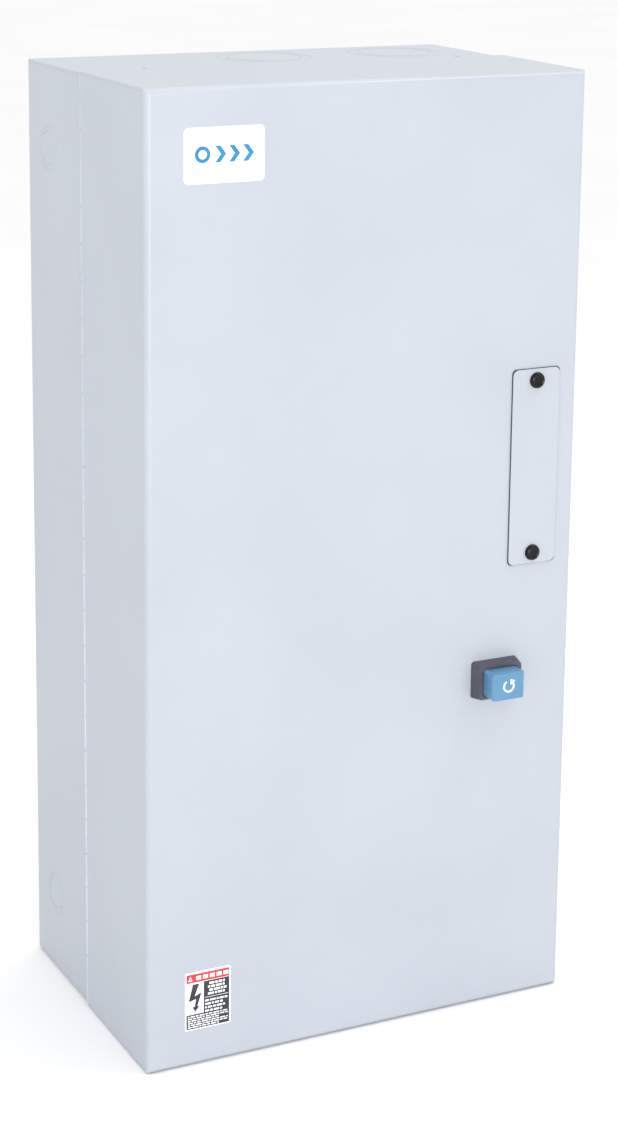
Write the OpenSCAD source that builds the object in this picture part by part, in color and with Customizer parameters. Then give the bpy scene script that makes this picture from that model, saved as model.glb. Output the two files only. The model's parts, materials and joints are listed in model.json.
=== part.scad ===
// Wall-mounted magnetic motor starter: a sheet-steel enclosure with a hinged wrap-around cover,
// an external reset button, a three-pole contactor and a thermal overload relay.
// X runs to the right, Y runs from the front towards the wall and Z runs up.
// The origin is the centre of the back face, where the enclosure meets the wall.

/* [Enclosure] */
// Width over the cover
enc_w = 300; // [280:1:360]
// Height over the cover
enc_h = 620; // [600:1:760]
// Depth from the wall to the face of the cover
enc_d = 203; // [195:1:240]
// Depth of the cover, from its face to the seam
cover_d = 105; // [95:1:115]
// Thickness of the sheet steel
sheet = 1.5; // [1:0.1:2]
// Outside radius of the folded edges
bend_r = 4; // [3:0.5:6]
// How far the cover stands proud of the back box on each side
cover_proud = 1.2; // [1:0.1:1.5]
// Gap between the cover and the back box along the seam
seam_gap = 0.8; // [0.6:0.1:1.2]
// How far the lip frame reaches forward inside the cover
lip_reach = 18; // [16:0.5:20]
// How far the lip frame runs back inside the back box
lip_hold = 16; // [12:1:18]
// Width of the open joint where two folded sides meet
corner_slit = 0.4; // [0.2:0.1:0.8]

/* [Wall mounting] */
// Diameter of the holes for the wall screws
wall_hole_d = 8; // [6:0.5:10]
// Distance from the sides of the cover to the wall holes
wall_hole_side = 35; // [30:1:60]
// Distance from the ends of the cover to the wall holes
wall_hole_end = 30; // [25:1:32]

/* [Knockouts] */
// Inner ring of the knockouts in the top and the bottom
end_ko_inner_d = 50; // [44:0.5:52]
// Outer ring of the knockouts in the top and the bottom
end_ko_outer_d = 62.7; // [56:0.1:64]
// Distance between the two knockouts in the top
end_ko_pitch = 96; // [80:1:100]
// Distance from the wall to the centre of the end knockouts
end_ko_back = 45; // [42:1:48]
// Inner ring of the knockouts in the sides
side_ko_inner_d = 22.2; // [18:0.1:24]
// Outer ring of the knockouts in the sides
side_ko_outer_d = 28.6; // [26:0.1:30]
// Distance from the wall to the centre of the side knockouts
side_ko_back = 38; // [30:1:45]
// Distance from the ends of the enclosure to the side knockouts
side_ko_end = 55; // [50:1:80]
// Width of the sheared line round a knockout
ko_line_w = 0.6; // [0.4:0.1:1]
// Depth of the sheared line round a knockout
ko_line_depth = 0.8; // [0.4:0.1:0.9]
// Diameter of the spot weld marks on the top
weld_d = 4; // [3:0.5:6]
// Places of the spot weld marks across the top
weld_x = [-102, 122]; // [-135:1:135]

/* [Hinge] */
// Outside radius of the hinge knuckles
knuckle_r = 1.8; // [1.6:0.1:2.2]
// Radius of the hinge pin
hinge_pin_r = 0.8; // [0.6:0.1:1]
// Thickness of the hinge leaves
leaf_t = 0.8; // [0.6:0.1:1]
// Width of the hinge leaves
leaf_w = 14; // [10:1:16]
// Number of knuckles, shared between the two leaves
knuckles = 25; // [15:2:31]
// Distance from each end of the enclosure to the hinge
hinge_inset = 12; // [8:1:20]

/* [Cover screws] */
// Thread diameter of the captive screws that hold the cover shut
cover_screw_d = 5; // [4:0.5:6]
// Diameter of the screw heads
cover_screw_head_d = 12; // [9:0.5:13]
// Distance from the ends of the cover to the screws
cover_screw_end = 110; // [70:5:180]
// Distance from the seam forward to the screws
cover_screw_y = 9; // [8:0.5:10]

/* [Cover plate] */
// Width of the plate over the pilot device opening
plate_w = 34.5; // [32:0.5:38]
// Distance from each push fastener to the end of the plate
plate_end = 7.5; // [6:0.1:12]
// Thickness of the plate
plate_t = 1.5; // [1:0.1:2]
// Corner radius of the plate
plate_r = 4; // [2:0.5:6]
// Distance from the right side of the enclosure to the middle of the plate
plate_side = 31; // [26:1:40]
// Height of the middle of the plate above the middle of the enclosure
plate_z = 56.3; // [40:0.1:70]
// Distance between the two push fasteners
fastener_pitch = 114.3; // [112:0.1:118]
// Diameter of the heads of the push fasteners
fastener_head_d = 10.5; // [9:0.5:12]
// Diameter of the shanks of the push fasteners
fastener_d = 6; // [4:0.5:7]

/* [Reset button] */
// Distance from the right side of the enclosure to the reset button
reset_side = 56.5; // [50:0.5:75]
// Height of the reset button above the middle of the enclosure
reset_z = -82.5; // [-110:0.5:-60]
// Width of the bezel on each side of the button, where it meets the cover
bezel_side = 4.65; // [4:0.05:6]
// Height of the bezel above and below the button, where it meets the cover
bezel_end = 3.5; // [3.3:0.1:5]
// How far each side of the bezel draws in towards its front
bezel_draft = 1.3; // [0.5:0.1:1.4]
// How far the bezel stands out from the cover
bezel_out = 9; // [7:0.5:11]
// Width of the button
button_w = 24.4; // [20:0.1:30]
// Height of the button
button_h = 18; // [16:0.1:24]
// How far the face of the button stands out from the cover
button_out = 20; // [18:0.5:24]
// Radius of the four long edges of the button
button_r = 2.4; // [1:0.1:4]
// Travel of the button
button_travel = 6; // [4:0.5:7]
// Diameter of the rod from the button to the relay
rod_d = 8; // [5:0.5:8.5]

/* [Labels] */
// Width and height of the label at the top left
front_label = [52, 33.4]; // [20:0.1:60]
// Distance from the left side to the middle of that label
front_label_side = 50.4; // [30:0.1:60]
// Distance from the top to the middle of that label
front_label_top = 40.7; // [25:0.1:60]
// Width and height of the label at the bottom left
hazard_label = [31.3, 39.2]; // [20:0.1:45]
// Distance from the left side to the middle of that label
hazard_label_side = 41; // [20:0.1:50]
// Distance from the bottom to the middle of that label
hazard_label_bottom = 44; // [25:0.1:60]
// Width and height of the wiring label inside the cover
wiring_label = [120, 160]; // [60:1:160]
// Thickness of the labels
label_t = 0.25; // [0.1:0.05:0.5]

/* [Mounting plate] */
// Gap between the mounting plate and each side of the enclosure
pan_side_gap = 22.3; // [18:0.1:27]
// Gap between the mounting plate and each end of the enclosure
pan_end_gap = 37.3; // [36:0.1:57]
// Thickness of the mounting plate
pan_t = 2; // [1.5:0.1:3]
// Height of the standoffs behind the mounting plate
standoff_h = 10.5; // [8:0.5:14]
// Distance from the sides of the plate to the standoffs
standoff_side = 15; // [10:1:25]
// Distance from the ends of the plate to the standoffs
standoff_end = 20; // [15:1:40]
// Diameter of the screws that hold the plate, the contactor and the relay
fixing_d = 5; // [4:0.5:5]

/* [Contactor] */
// Gap between the relay and the contactor above it
starter_gap = 7; // [4:1:10]
// Distance from the middle of each outer pole to the side of the contactor
contactor_side = 20.5; // [20.5:0.5:24]
// Height of the contactor
contactor_h = 150; // [146:1:156]
// Depth of the contactor's base
contactor_base_d = 58; // [56:1:60]
// Depth of the whole contactor
contactor_d = 140; // [138:1:146]
// Distance between poles
pole_pitch = 32; // [30:0.5:39]
// Travel of the armature
armature_travel = 8; // [5:0.5:8]
// Width of the copper conductors
bar_w = 12; // [10:0.5:13]
// Thickness of the copper conductors
bar_t = 3; // [2:0.5:3.5]
// Diameter of the conductor hole in the power lugs
lug_bore_d = 11; // [8:0.5:12]

/* [Overload relay] */
// Distance from the middle of the relay across to its reset plunger
plunger_x = 38.5; // [36:0.5:40]
// Distance from the middle of the relay down to its row of controls
controls_drop = 26.5; // [24:0.5:28]
// Distance from the middle of each outer pole to the side of the relay
relay_side = 13; // [13:0.5:18]
// Height of the relay
relay_h = 88; // [86:1:90]
// Depth of the relay's base
relay_base_d = 50; // [46:1:54]
// Depth of the whole relay
relay_d = 95; // [94:1:97]
// Travel of the test button
test_travel = 3; // [2:0.5:3]
// Diameter of the current dial
dial_d = 16; // [12:1:18]

/* [Hidden] */
$fn = 48;
eps = 0.01;
// Clearance of a part that slides or turns in another
run = 0.05;
// Clearance between moving bodies that don't guide each other
clear = 0.3;

// Planes of the enclosure
front_y = -enc_d;
seam_y = front_y + cover_d;
box_w = enc_w - 2 * cover_proud;
box_h = enc_h - 2 * cover_proud;
inner_w = box_w - 2 * sheet;
inner_h = box_h - 2 * sheet;
lip_front = seam_y - seam_gap / 2 - lip_reach;
wall_hole_dx = enc_w - 2 * wall_hole_side;
wall_hole_dz = enc_h - 2 * wall_hole_end;

// Hinge axis and the room its knuckles need in the seam
hinge_x = -enc_w / 2 + knuckle_r;
knuckle_room = knuckle_r + clear;
hinge_len = enc_h - 2 * hinge_inset;
knuckle_pitch = hinge_len / knuckles;
knuckle_gap = 0.4;

// Cover screws and their nuts
cover_screw_at_y = seam_y - cover_screw_y;
cover_screw_z = enc_h / 2 - cover_screw_end;
nut_neck = cover_screw_d + 1.6;
nut_size = 13;
nut_t = 4;
lip_slot_w = nut_neck + 2 * clear;

// Parts on the cover
plate_x = enc_w / 2 - plate_side;
plate_h = fastener_pitch + 2 * plate_end;
pilot_opening = [plate_w - 12, fastener_pitch - 20];
fastener_head_h = 2.5;
fastener_rim_h = 0.8;
fastener_barb_h = 2;
fastener_hole_d = fastener_d + 0.4;
reset_x = enc_w / 2 - reset_side;
bezel_w = button_w + 2 * bezel_side;
bezel_h = button_h + 2 * bezel_end;
window_w = button_w + 2 * clear;
window_h = button_h + 2 * clear;
flange_step = 0.7;
button_flange_t = 2.7;
well_w = window_w + 2 * flange_step;
well_h = window_h + 2 * flange_step;
well_wall = 1.2;
well_depth = button_flange_t + clear + button_travel + 3;
neck_w = well_w + 2 * well_wall;
neck_h = well_h + 2 * well_wall;
neck_hole_gap = 0.1;
pocket_d = min(button_w, button_h) - 4;
pocket_top = button_out - 6;

// Mounting plate and what it carries
pan_w = inner_w - 2 * pan_side_gap;
pan_h = inner_h - 2 * pan_end_gap;
standoff_dx = pan_w - 2 * standoff_side;
standoff_dz = pan_h - 2 * standoff_end;
pan_back = -sheet - standoff_h;
pan_front = pan_back - pan_t;
contactor_w = 2 * (pole_pitch + contactor_side);
relay_w = 2 * (pole_pitch + relay_side);
starter_x = reset_x - plunger_x;
relay_z = reset_z + controls_drop;
contactor_z = relay_z + relay_h / 2 + starter_gap + contactor_h / 2;
pole_x = [-pole_pitch, 0, pole_pitch];
fixing_head_d = 9.5;
fixing_head_h = 3;

// Magnet, measured forward from the mounting plate
core_w = 70;
core_t = 30;
core_back = 6;
core_yoke = 14;
core_face = contactor_base_d - 8;
core_side_leg = 11;
core_mid_leg = 19;
magnet_room = [core_w + 10, 2 * core_t];
armature_t = 12;
armature_back = core_face + armature_travel + clear;
armature_front = armature_back + armature_t;
bobbin_wall = 1.2;
bobbin_flange = 2;
bobbin_hole = [core_mid_leg + 1, core_t + 1];
bobbin_w = core_w - 2 * core_side_leg - 1;
bobbin_h = core_t + 24;
bobbin_back = core_back + core_yoke + 1;
bobbin_front = core_face - 2;

// Crossbar and contacts, measured forward from the mounting plate
carrier_t = 6;
carrier_w = 2 * pole_pitch + 28;
carrier_h = 18;
carrier_front = armature_front + carrier_t;
post_w = 16;
bar_back = 88;
bar_front = bar_back + bar_t;
contact_t = 2;
fixed_face = bar_front + contact_t;
moving_face = fixed_face + armature_travel + clear;
bridge_back = moving_face + contact_t;
bridge_t = 3;
bridge_w = 10;
bridge_len = 44;
contact_len = 10;
contact_in = 12;
spring_room = 9;
post_window_front = bridge_back + bridge_t + spring_room;
post_front = post_window_front + 3;
indicator_d = 6;
arm_h = 8;
arm_reach = 6;
arm_room = 0.5;
indicator_out = 4;
housing_wall = 4.5;
housing_front_wall = 6;
chamber_h = 68;
channel_w = bar_w + 8;
channel_start = chamber_h / 2 + 6;
line_end = contactor_h / 2 + 6;
lug_w = 18;
lug_h = 20;
lug_z = contactor_h / 2 - 15;
lug_d = lug_bore_d + 7;
lug_screw_d = 8;
lug_screw_len = 8;
lug_floor = 2;
hex_socket_d = 4.6;
housing_screw_x = contactor_w / 2 - 5;
housing_screw_z = chamber_h / 2 + 12;
housing_screw_d = 4;
housing_screw_bite = 6;
housing_head_h = 2.4;
contactor_screw_x = contactor_w / 2 - 6;
contactor_screw_z = contactor_h / 2 - 7;
contactor_notch = 12;
contactor_foot = 12;

// Return springs of the contactor
return_x = carrier_w / 2 - 3;
return_spring_r = 2;
return_pocket = 10;

// Auxiliary contact block
aux_w = 18;
aux_back = 30;
aux_front = 100;
aux_h = 50;
aux_step = 8;

// Terminals at the sides
ledge_w = 12;
ledge_h = 44;
ledge_depth = 40;
relay_ledge_depth = 30;
relay_ledge_h = 34;
tab_size = 9;
tab_t = 1.5;
tab_pitch = 24;
tab_screw_d = 3;
tab_screw_len = 8;
small_screw_d = 7;
small_screw_h = 3;

// Relay
relay_screw_x = relay_w / 2 + 5;
relay_ear = 11;
relay_ear_h = 14;
relay_foot = 8;
relay_terminal_z = 12;
load_strap_back = 60;
strap_out = 18;
load_enter = 8;
heater_z = 21;
heater_w = 24;
heater_len = 38;
heater_body = 22;
heater_flange_t = 6;
heater_t = 18;
heater_screw_pitch = 30;
heater_screw_d = 4;
heater_screw_bite = relay_d - bar_front - 0.5;
controls_z = -controls_drop;
plunger_d = 8;
plunger_out = 8;
plunger_hold = 10;
rod_gap = clear;
rod_tip_y = pan_front - relay_d - plunger_out - rod_gap;
test_x = 15;
test_d = 6;
test_out = 4;
mode_x = -7;
mode_d = 12;
dial_x = -30;
dial_out = 3;
stem_d = 5;
stem_len = 10;

// Ground lug
ground_x = -90;
ground_z = -pan_h / 2 + 40;
ground_w = 14;
ground_tongue = 3;
ground_lug_d = 13;
ground_bore_d = 7;

// A box between two corners
module block(x0, x1, y0, y1, z0, z1) {
    translate([x0, y0, z0])
        cube([x1 - x0, y1 - y0, z1 - z0]);
}

// A flat shape drawn in X and Z, made solid from y0 to y1
module along_y(y0, y1) {
    translate([0, y1, 0])
        rotate([90, 0, 0])
            linear_extrude(y1 - y0)
                children();
}

// A flat shape drawn in Y and Z, made solid from x0 to x1
module along_x(x0, x1) {
    translate([x0, 0, 0])
        rotate([90, 0, 90])
            linear_extrude(x1 - x0)
                children();
}

// A round bar along Y
module bar_y(x, z, d, y0, y1) {
    translate([x, y1, z])
        rotate([90, 0, 0])
            cylinder(h = y1 - y0, d = d);
}

// A round bar along X
module bar_x(y, z, d, x0, x1) {
    translate([x0, y, z])
        rotate([0, 90, 0])
            cylinder(h = x1 - x0, d = d);
}

// A rectangle with round corners, centred
module round_rect(w, h, r) {
    square([w - 2 * r, h], center = true);
    square([w, h - 2 * r], center = true);
    for (i = [-1, 1], j = [-1, 1])
        translate([i * (w / 2 - r), j * (h / 2 - r)])
            circle(r);
}

// The outline of a folded tray: its closed side lies on the first axis
module fold_outline(w, d, r) {
    translate([-w / 2, r])
        square([w, d - r]);
    translate([-w / 2 + r, 0])
        square([w - 2 * r, d]);
    for (i = [-1, 1])
        translate([i * (w / 2 - r), r])
            circle(r);
}

// A block with round edges on the side at y = 0
module fold_block(w, h, d, r) {
    intersection() {
        translate([0, 0, -h / 2])
            linear_extrude(h)
                fold_outline(w, d, r);
        rotate([0, 90, 0])
            translate([0, 0, -w / 2])
                linear_extrude(w)
                    fold_outline(h, d, r);
    }
}

// A tray of folded sheet with open joints between its sides, closed at y = 0
module folded_tray(w, h, d) {
    difference() {
        fold_block(w, h, d, bend_r);
        translate([0, sheet, 0])
            fold_block(w - 2 * sheet, h - 2 * sheet, d, bend_r - sheet);
        for (i = [-1, 1], j = [-1, 1])
            translate([i * (w / 2 - sheet / 2), d / 2 + bend_r, j * (h / 2 - sheet - corner_slit / 2)])
                cube([sheet + 2 * eps, d, corner_slit], center = true);
    }
}

// The sheared rings of a knockout, cut into a face whose outward normal is +Z
module knockout_lines(inner_d, outer_d) {
    for (d = [inner_d, outer_d])
        translate([0, 0, -ko_line_depth])
            difference() {
                cylinder(h = ko_line_depth + 1, d = d);
                translate([0, 0, -1])
                    cylinder(h = ko_line_depth + 3, d = d - 2 * ko_line_w);
            }
}

// A wire swept along a coil about Z from the origin up to the given height
module coil_spring(radius, wire, height, turns) {
    sides = 6;
    steps = 12;
    rings = turns * steps;
    rise = height - wire;
    points = [for (i = [0:rings], k = [0:sides - 1])
        let (a = 360 * i / steps,
            b = 360 * k / sides,
            r = radius + wire / 2 * cos(b),
            z = wire / 2 + rise * i / rings + wire / 2 * sin(b))
        [r * cos(a), r * sin(a), z]];
    faces = concat(
        [[for (k = [0:sides - 1]) k]],
        [for (i = [0:rings - 1], k = [0:sides - 1])
            let (n = (k + 1) % sides, p = i * sides, q = p + sides)
            [p + k, q + k, q + n]],
        [for (i = [0:rings - 1], k = [0:sides - 1])
            let (n = (k + 1) % sides, p = i * sides, q = p + sides)
            [p + k, q + n, p + n]],
        [[for (k = [sides - 1:-1:0]) rings * sides + k]]);
    polyhedron(points, faces, convexity = 10);
}

function unit(v) = v / norm(v);

function curve_point(p, t) =
    pow(1 - t, 3) * p[0] + 3 * pow(1 - t, 2) * t * p[1] + 3 * (1 - t) * t * t * p[2] + t * t * t * p[3];

function curve_dir(p, t) =
    unit(pow(1 - t, 2) * (p[1] - p[0]) + 2 * (1 - t) * t * (p[2] - p[1]) + t * t * (p[3] - p[2]));

// A round wire swept along one smooth curve with four control points
module wire_run(p, d) {
    sides = 8;
    rings = 18;
    points = [for (i = [0:rings], k = [0:sides - 1])
        let (t = i / rings,
            u = unit(cross(curve_dir(p, t), [0, 1, 0])),
            v = cross(curve_dir(p, t), u),
            b = 360 * k / sides)
        curve_point(p, t) + d / 2 * (cos(b) * u + sin(b) * v)];
    faces = concat(
        [[for (k = [sides - 1:-1:0]) k]],
        [for (i = [0:rings - 1], k = [0:sides - 1])
            let (n = (k + 1) % sides, q = i * sides, r = q + sides)
            [q + k, q + n, r + n]],
        [for (i = [0:rings - 1], k = [0:sides - 1])
            let (n = (k + 1) % sides, q = i * sides, r = q + sides)
            [q + k, r + n, r + k]],
        [[for (k = [0:sides - 1]) rings * sides + k]]);
    polyhedron(points, faces, convexity = 10);
}

// Moves a part into the contactor's own frame: y = 0 is the front of the mounting plate
module at_contactor() {
    translate([starter_x, pan_front, contactor_z])
        children();
}

// Moves a part into the relay's own frame
module at_relay() {
    translate([starter_x, pan_front, relay_z])
        children();
}

// A pan-head screw pointing to +Y, its head resting on y = 0, with a straight slot
module pan_screw(d, length, head_d, head_h) {
    difference() {
        union() {
            bar_y(0, 0, head_d, -head_h, 0);
            bar_y(0, 0, d, -eps, length);
        }
        block(-head_d / 2 - 1, head_d / 2 + 1, -head_h - 1, -head_h + 1.2, -0.6, 0.6);
    }
}

// ---- Enclosure ----

module back_box() {
    color("lightsteelblue")
    difference() {
        mirror([0, 1, 0])
            folded_tray(box_w, box_h, -seam_y - seam_gap / 2);
        // room for the hinge knuckles
        block(-enc_w, hinge_x + knuckle_room, seam_y - 1, seam_y + knuckle_room, -enc_h, enc_h);
        for (i = [-1, 1], j = [-1, 1])
            bar_y(i * wall_hole_dx / 2, j * wall_hole_dz / 2, wall_hole_d, -sheet - 1, 1);
        for (s = [0, 1], x = [0, end_ko_pitch])
            mirror([0, 0, s])
                translate([x, -end_ko_back, box_h / 2])
                    knockout_lines(end_ko_inner_d, end_ko_outer_d);
        for (s = [0, 1], j = [-1, 1])
            mirror([s, 0, 0])
                translate([-box_w / 2, -side_ko_back, j * (enc_h / 2 - side_ko_end)])
                    rotate([0, -90, 0])
                        knockout_lines(side_ko_inner_d, side_ko_outer_d);
        for (x = weld_x)
            translate([x, seam_y + lip_hold * 0.7, box_h / 2 - 0.3])
                cylinder(h = 1, d = weld_d);
    }
}

// Strip welded inside the top, right and bottom of the box; the cover closes over it
module lip_frame() {
    y0 = lip_front;
    y1 = seam_y + lip_hold;
    left = -enc_w / 2 + leaf_w;
    color("lightsteelblue")
    difference() {
        block(left, inner_w / 2, y0, y1, -inner_h / 2, inner_h / 2);
        block(left - 1, inner_w / 2 - sheet, y0 - 1, y1 + 1, -inner_h / 2 + sheet, inner_h / 2 - sheet);
        for (j = [-1, 1])
            translate([inner_w / 2 - 2 * sheet, y0 - 1, j * cover_screw_z - lip_slot_w / 2])
                cube([3 * sheet, cover_screw_at_y + lip_slot_w / 2 - y0 + 1, lip_slot_w]);
    }
}

// Knuckles number `first`, `first` + 2 and so on of the continuous hinge
module knuckle_row(first) {
    for (i = [first:2:knuckles - 1])
        translate([hinge_x, seam_y, -hinge_len / 2 + i * knuckle_pitch + knuckle_gap / 2])
            children();
}

module hinge_box_leaf() {
    leaf_x = -box_w / 2 + sheet;
    tall = knuckle_pitch - knuckle_gap;
    color("lightsteelblue")
    difference() {
        union() {
            block(leaf_x, leaf_x + leaf_t, seam_y + knuckle_room, seam_y + knuckle_room + leaf_w,
                -hinge_len / 2, hinge_len / 2);
            knuckle_row(0) {
                cylinder(h = tall, r = knuckle_r);
            }
            knuckle_row(0) {
                cube([leaf_x + leaf_t - hinge_x, knuckle_room, tall]);
            }
            knuckle_row(0) {
                translate([leaf_x - hinge_x, 0, 0])
                    cube([leaf_t, knuckle_room + 1, tall]);
            }
        }
        translate([hinge_x, seam_y, -enc_h / 2])
            cylinder(h = enc_h, r = hinge_pin_r + run);
    }
}

module hinge_cover_leaf() {
    leaf_x = -enc_w / 2 + sheet;
    tall = knuckle_pitch - knuckle_gap;
    color("lightsteelblue")
    difference() {
        union() {
            block(leaf_x, leaf_x + leaf_t, seam_y - knuckle_room - leaf_w, seam_y - knuckle_room,
                -hinge_len / 2, hinge_len / 2);
            knuckle_row(1) {
                cylinder(h = tall, r = knuckle_r);
            }
            knuckle_row(1) {
                translate([leaf_x - hinge_x, -knuckle_room - 1, 0])
                    cube([leaf_t, knuckle_room + 1, tall]);
            }
        }
        translate([hinge_x, seam_y, -enc_h / 2])
            cylinder(h = enc_h, r = hinge_pin_r + run);
    }
}

module hinge_pin() {
    head_h = 1;
    color("silver")
    translate([hinge_x, seam_y, 0]) {
        cylinder(h = hinge_len, r = hinge_pin_r, center = true);
        for (j = [-1, 1])
            translate([0, 0, j * (hinge_len / 2 - knuckle_gap / 2 + head_h / 2)])
                cylinder(h = head_h, r = knuckle_r - 0.3, center = true);
    }
}

module cover() {
    color("lightsteelblue")
    difference() {
        translate([0, front_y, 0])
            folded_tray(enc_w, enc_h, cover_d - seam_gap / 2);
        // room for the hinge knuckles
        block(-enc_w, hinge_x + knuckle_room, seam_y - knuckle_room, seam_y + 1, -enc_h, enc_h);
        // pilot device opening behind the cover plate, and the holes for its fasteners
        translate([plate_x, 0, plate_z]) {
            along_y(front_y - 1, front_y + sheet + 1)
                square(pilot_opening, center = true);
            for (j = [-1, 1])
                bar_y(0, j * fastener_pitch / 2, fastener_hole_d, front_y - 1, front_y + sheet + 1);
        }
        // hole for the neck of the reset bezel
        translate([reset_x, 0, reset_z])
            along_y(front_y - 1, front_y + sheet + 1)
                square([neck_w + 2 * neck_hole_gap, neck_h + 2 * neck_hole_gap], center = true);
        // holes for the captive screws
        for (j = [-1, 1])
            bar_x(cover_screw_at_y, j * cover_screw_z, cover_screw_d + 2 * clear,
                enc_w / 2 - sheet - 1, enc_w / 2 + 1);
    }
}

// Slotted captive screw through the right side of the cover
module cover_screw(z) {
    head_h = 3.5;
    tip_x = inner_w / 2 - sheet - clear - nut_t - 1.5;
    head_x = enc_w / 2 + clear;
    color("silver")
    translate([0, cover_screw_at_y, z])
        difference() {
            union() {
                bar_x(0, 0, cover_screw_d, tip_x, head_x + eps);
                bar_x(0, 0, cover_screw_head_d, head_x, head_x + head_h);
            }
            block(head_x + head_h - 1.5, head_x + head_h + 1, -0.7, 0.7,
                -cover_screw_head_d, cover_screw_head_d);
        }
}

module cover_screw_upper() {
    cover_screw(cover_screw_z);
}

module cover_screw_lower() {
    cover_screw(-cover_screw_z);
}

// Square nuts whose necks slide out of the open slots in the lip frame
module cover_nuts() {
    back_x = inner_w / 2 - sheet - clear;
    neck_x = enc_w / 2 - sheet;
    color("silver")
    for (j = [-1, 1])
        translate([0, cover_screw_at_y, j * cover_screw_z])
            difference() {
                union() {
                    block(back_x - nut_t, back_x, -nut_size / 2, nut_size / 2, -nut_size / 2, nut_size / 2);
                    block(back_x - eps, neck_x, -nut_neck / 2, nut_neck / 2, -nut_neck / 2, nut_neck / 2);
                }
                bar_x(0, 0, cover_screw_d + 2 * run, back_x - nut_t - 1, neck_x + 1);
            }
}

// ---- Parts on the cover ----

module pilot_plate() {
    color("lightsteelblue")
    translate([plate_x, 0, plate_z])
        difference() {
            along_y(front_y - plate_t, front_y)
                round_rect(plate_w, plate_h, plate_r);
            for (j = [-1, 1])
                bar_y(0, j * fastener_pitch / 2, fastener_hole_d, front_y - plate_t - 1, front_y + 1);
        }
}

// Domed push fasteners, spread behind the cover
module plate_fasteners() {
    head_y = front_y - plate_t;
    dome_h = fastener_head_h - fastener_rim_h;
    dome_r = (pow(fastener_head_d / 2, 2) + pow(dome_h, 2)) / (2 * dome_h);
    color("dimgray")
    for (j = [-1, 1])
        translate([plate_x, 0, plate_z + j * fastener_pitch / 2]) {
            intersection() {
                bar_y(0, 0, fastener_head_d, head_y - fastener_head_h - 1, head_y);
                translate([0, head_y - fastener_head_h + dome_r, 0])
                    sphere(r = dome_r);
            }
            bar_y(0, 0, fastener_d, head_y - eps, front_y + sheet + fastener_barb_h + 3);
            bar_y(0, 0, fastener_d + 2.4, front_y + sheet, front_y + sheet + fastener_barb_h);
        }
}

module front_label() {
    color("white")
    translate([-enc_w / 2 + front_label_side, 0, enc_h / 2 - front_label_top])
        along_y(front_y - label_t, front_y)
            round_rect(front_label[0], front_label[1], 3);
}

module hazard_label() {
    color("white")
    translate([-enc_w / 2 + hazard_label_side, 0, -enc_h / 2 + hazard_label_bottom])
        along_y(front_y - label_t, front_y)
            round_rect(hazard_label[0], hazard_label[1], 1);
}

module wiring_label() {
    color("white")
    translate([-enc_w / 6, 0, enc_h / 6])
        along_y(front_y + sheet, front_y + sheet + label_t)
            round_rect(wiring_label[0], wiring_label[1], 2);
}

// One side view of the drafted bezel, drawn outwards from the cover
module draft_outline(w) {
    polygon([[-w / 2, 0], [w / 2, 0], [w / 2 - bezel_draft, -bezel_out], [-w / 2 + bezel_draft, -bezel_out]]);
}

module reset_bezel() {
    color("dimgray")
    translate([reset_x, front_y, reset_z])
        difference() {
            union() {
                intersection() {
                    translate([0, 0, -bezel_h])
                        linear_extrude(2 * bezel_h)
                            draft_outline(bezel_w);
                    rotate([0, 90, 0])
                        translate([0, 0, -bezel_w])
                            linear_extrude(2 * bezel_w)
                                draft_outline(bezel_h);
                }
                along_y(-eps, well_depth + well_wall)
                    square([neck_w, neck_h], center = true);
            }
            along_y(-bezel_out - 1, 1)
                round_rect(window_w, window_h, button_r);
            along_y(0, well_depth)
                square([well_w, well_h], center = true);
            bar_y(0, 0, rod_d + 2 * run, 0, well_depth + well_wall + 1);
        }
}

// Spring-steel frame that holds the bezel from behind
module bezel_clip() {
    color("silver")
    translate([reset_x, front_y, reset_z])
        difference() {
            along_y(sheet, sheet + 1.2)
                round_rect(neck_w + 12, neck_h + 12, 2);
            along_y(sheet - 1, sheet + 3)
                square([neck_w, neck_h], center = true);
        }
}

module reset_button() {
    color("cornflowerblue")
    translate([reset_x, front_y, reset_z])
        difference() {
            union() {
                along_y(-button_out, clear + button_flange_t)
                    round_rect(button_w, button_h, button_r);
                along_y(clear, clear + button_flange_t)
                    square([well_w - 2 * clear, well_h - 2 * clear], center = true);
            }
            bar_y(0, 0, pocket_d, -pocket_top, clear + button_flange_t + 1);
        }
}

module reset_rod() {
    color("white")
    bar_y(reset_x, reset_z, rod_d, front_y - pocket_top, rod_tip_y);
}

module reset_spring() {
    wire = 1;
    color("silver")
    translate([reset_x, front_y + well_depth, reset_z])
        rotate([90, 0, 0])
            coil_spring(rod_d / 2 + 1.4, wire, well_depth + pocket_top, 7);
}

// ---- Mounting plate ----

module at_standoffs() {
    for (i = [-1, 1], j = [-1, 1])
        translate([i * standoff_dx / 2, 0, j * standoff_dz / 2])
            children();
}

module standoffs() {
    color("silver")
    at_standoffs()
        difference() {
            bar_y(0, 0, 2 * fixing_d, pan_back, -sheet);
            bar_y(0, 0, fixing_d + 2 * run, pan_back - 1, -sheet - 1);
        }
}

module mounting_plate() {
    color("gainsboro")
    difference() {
        along_y(pan_front, pan_back)
            round_rect(pan_w, pan_h, 8);
        at_standoffs()
            bar_y(0, 0, fixing_d + 0.5, pan_front - 1, pan_back + 1);
        at_contactor()
            for (i = [-1, 1], j = [-1, 1])
                bar_y(i * contactor_screw_x, j * contactor_screw_z, fixing_d + 2 * run, -1, pan_t + 1);
        at_relay()
            for (i = [-1, 1])
                bar_y(i * relay_screw_x, 0, fixing_d + 2 * run, -1, pan_t + 1);
        bar_y(ground_x, ground_z, fixing_d + 2 * run, pan_front - 1, pan_back + 1);
    }
}

module plate_screws() {
    color("silver")
    at_standoffs()
        translate([0, pan_front, 0])
            pan_screw(fixing_d, pan_t + standoff_h - 2, fixing_head_d, fixing_head_h);
}

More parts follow.
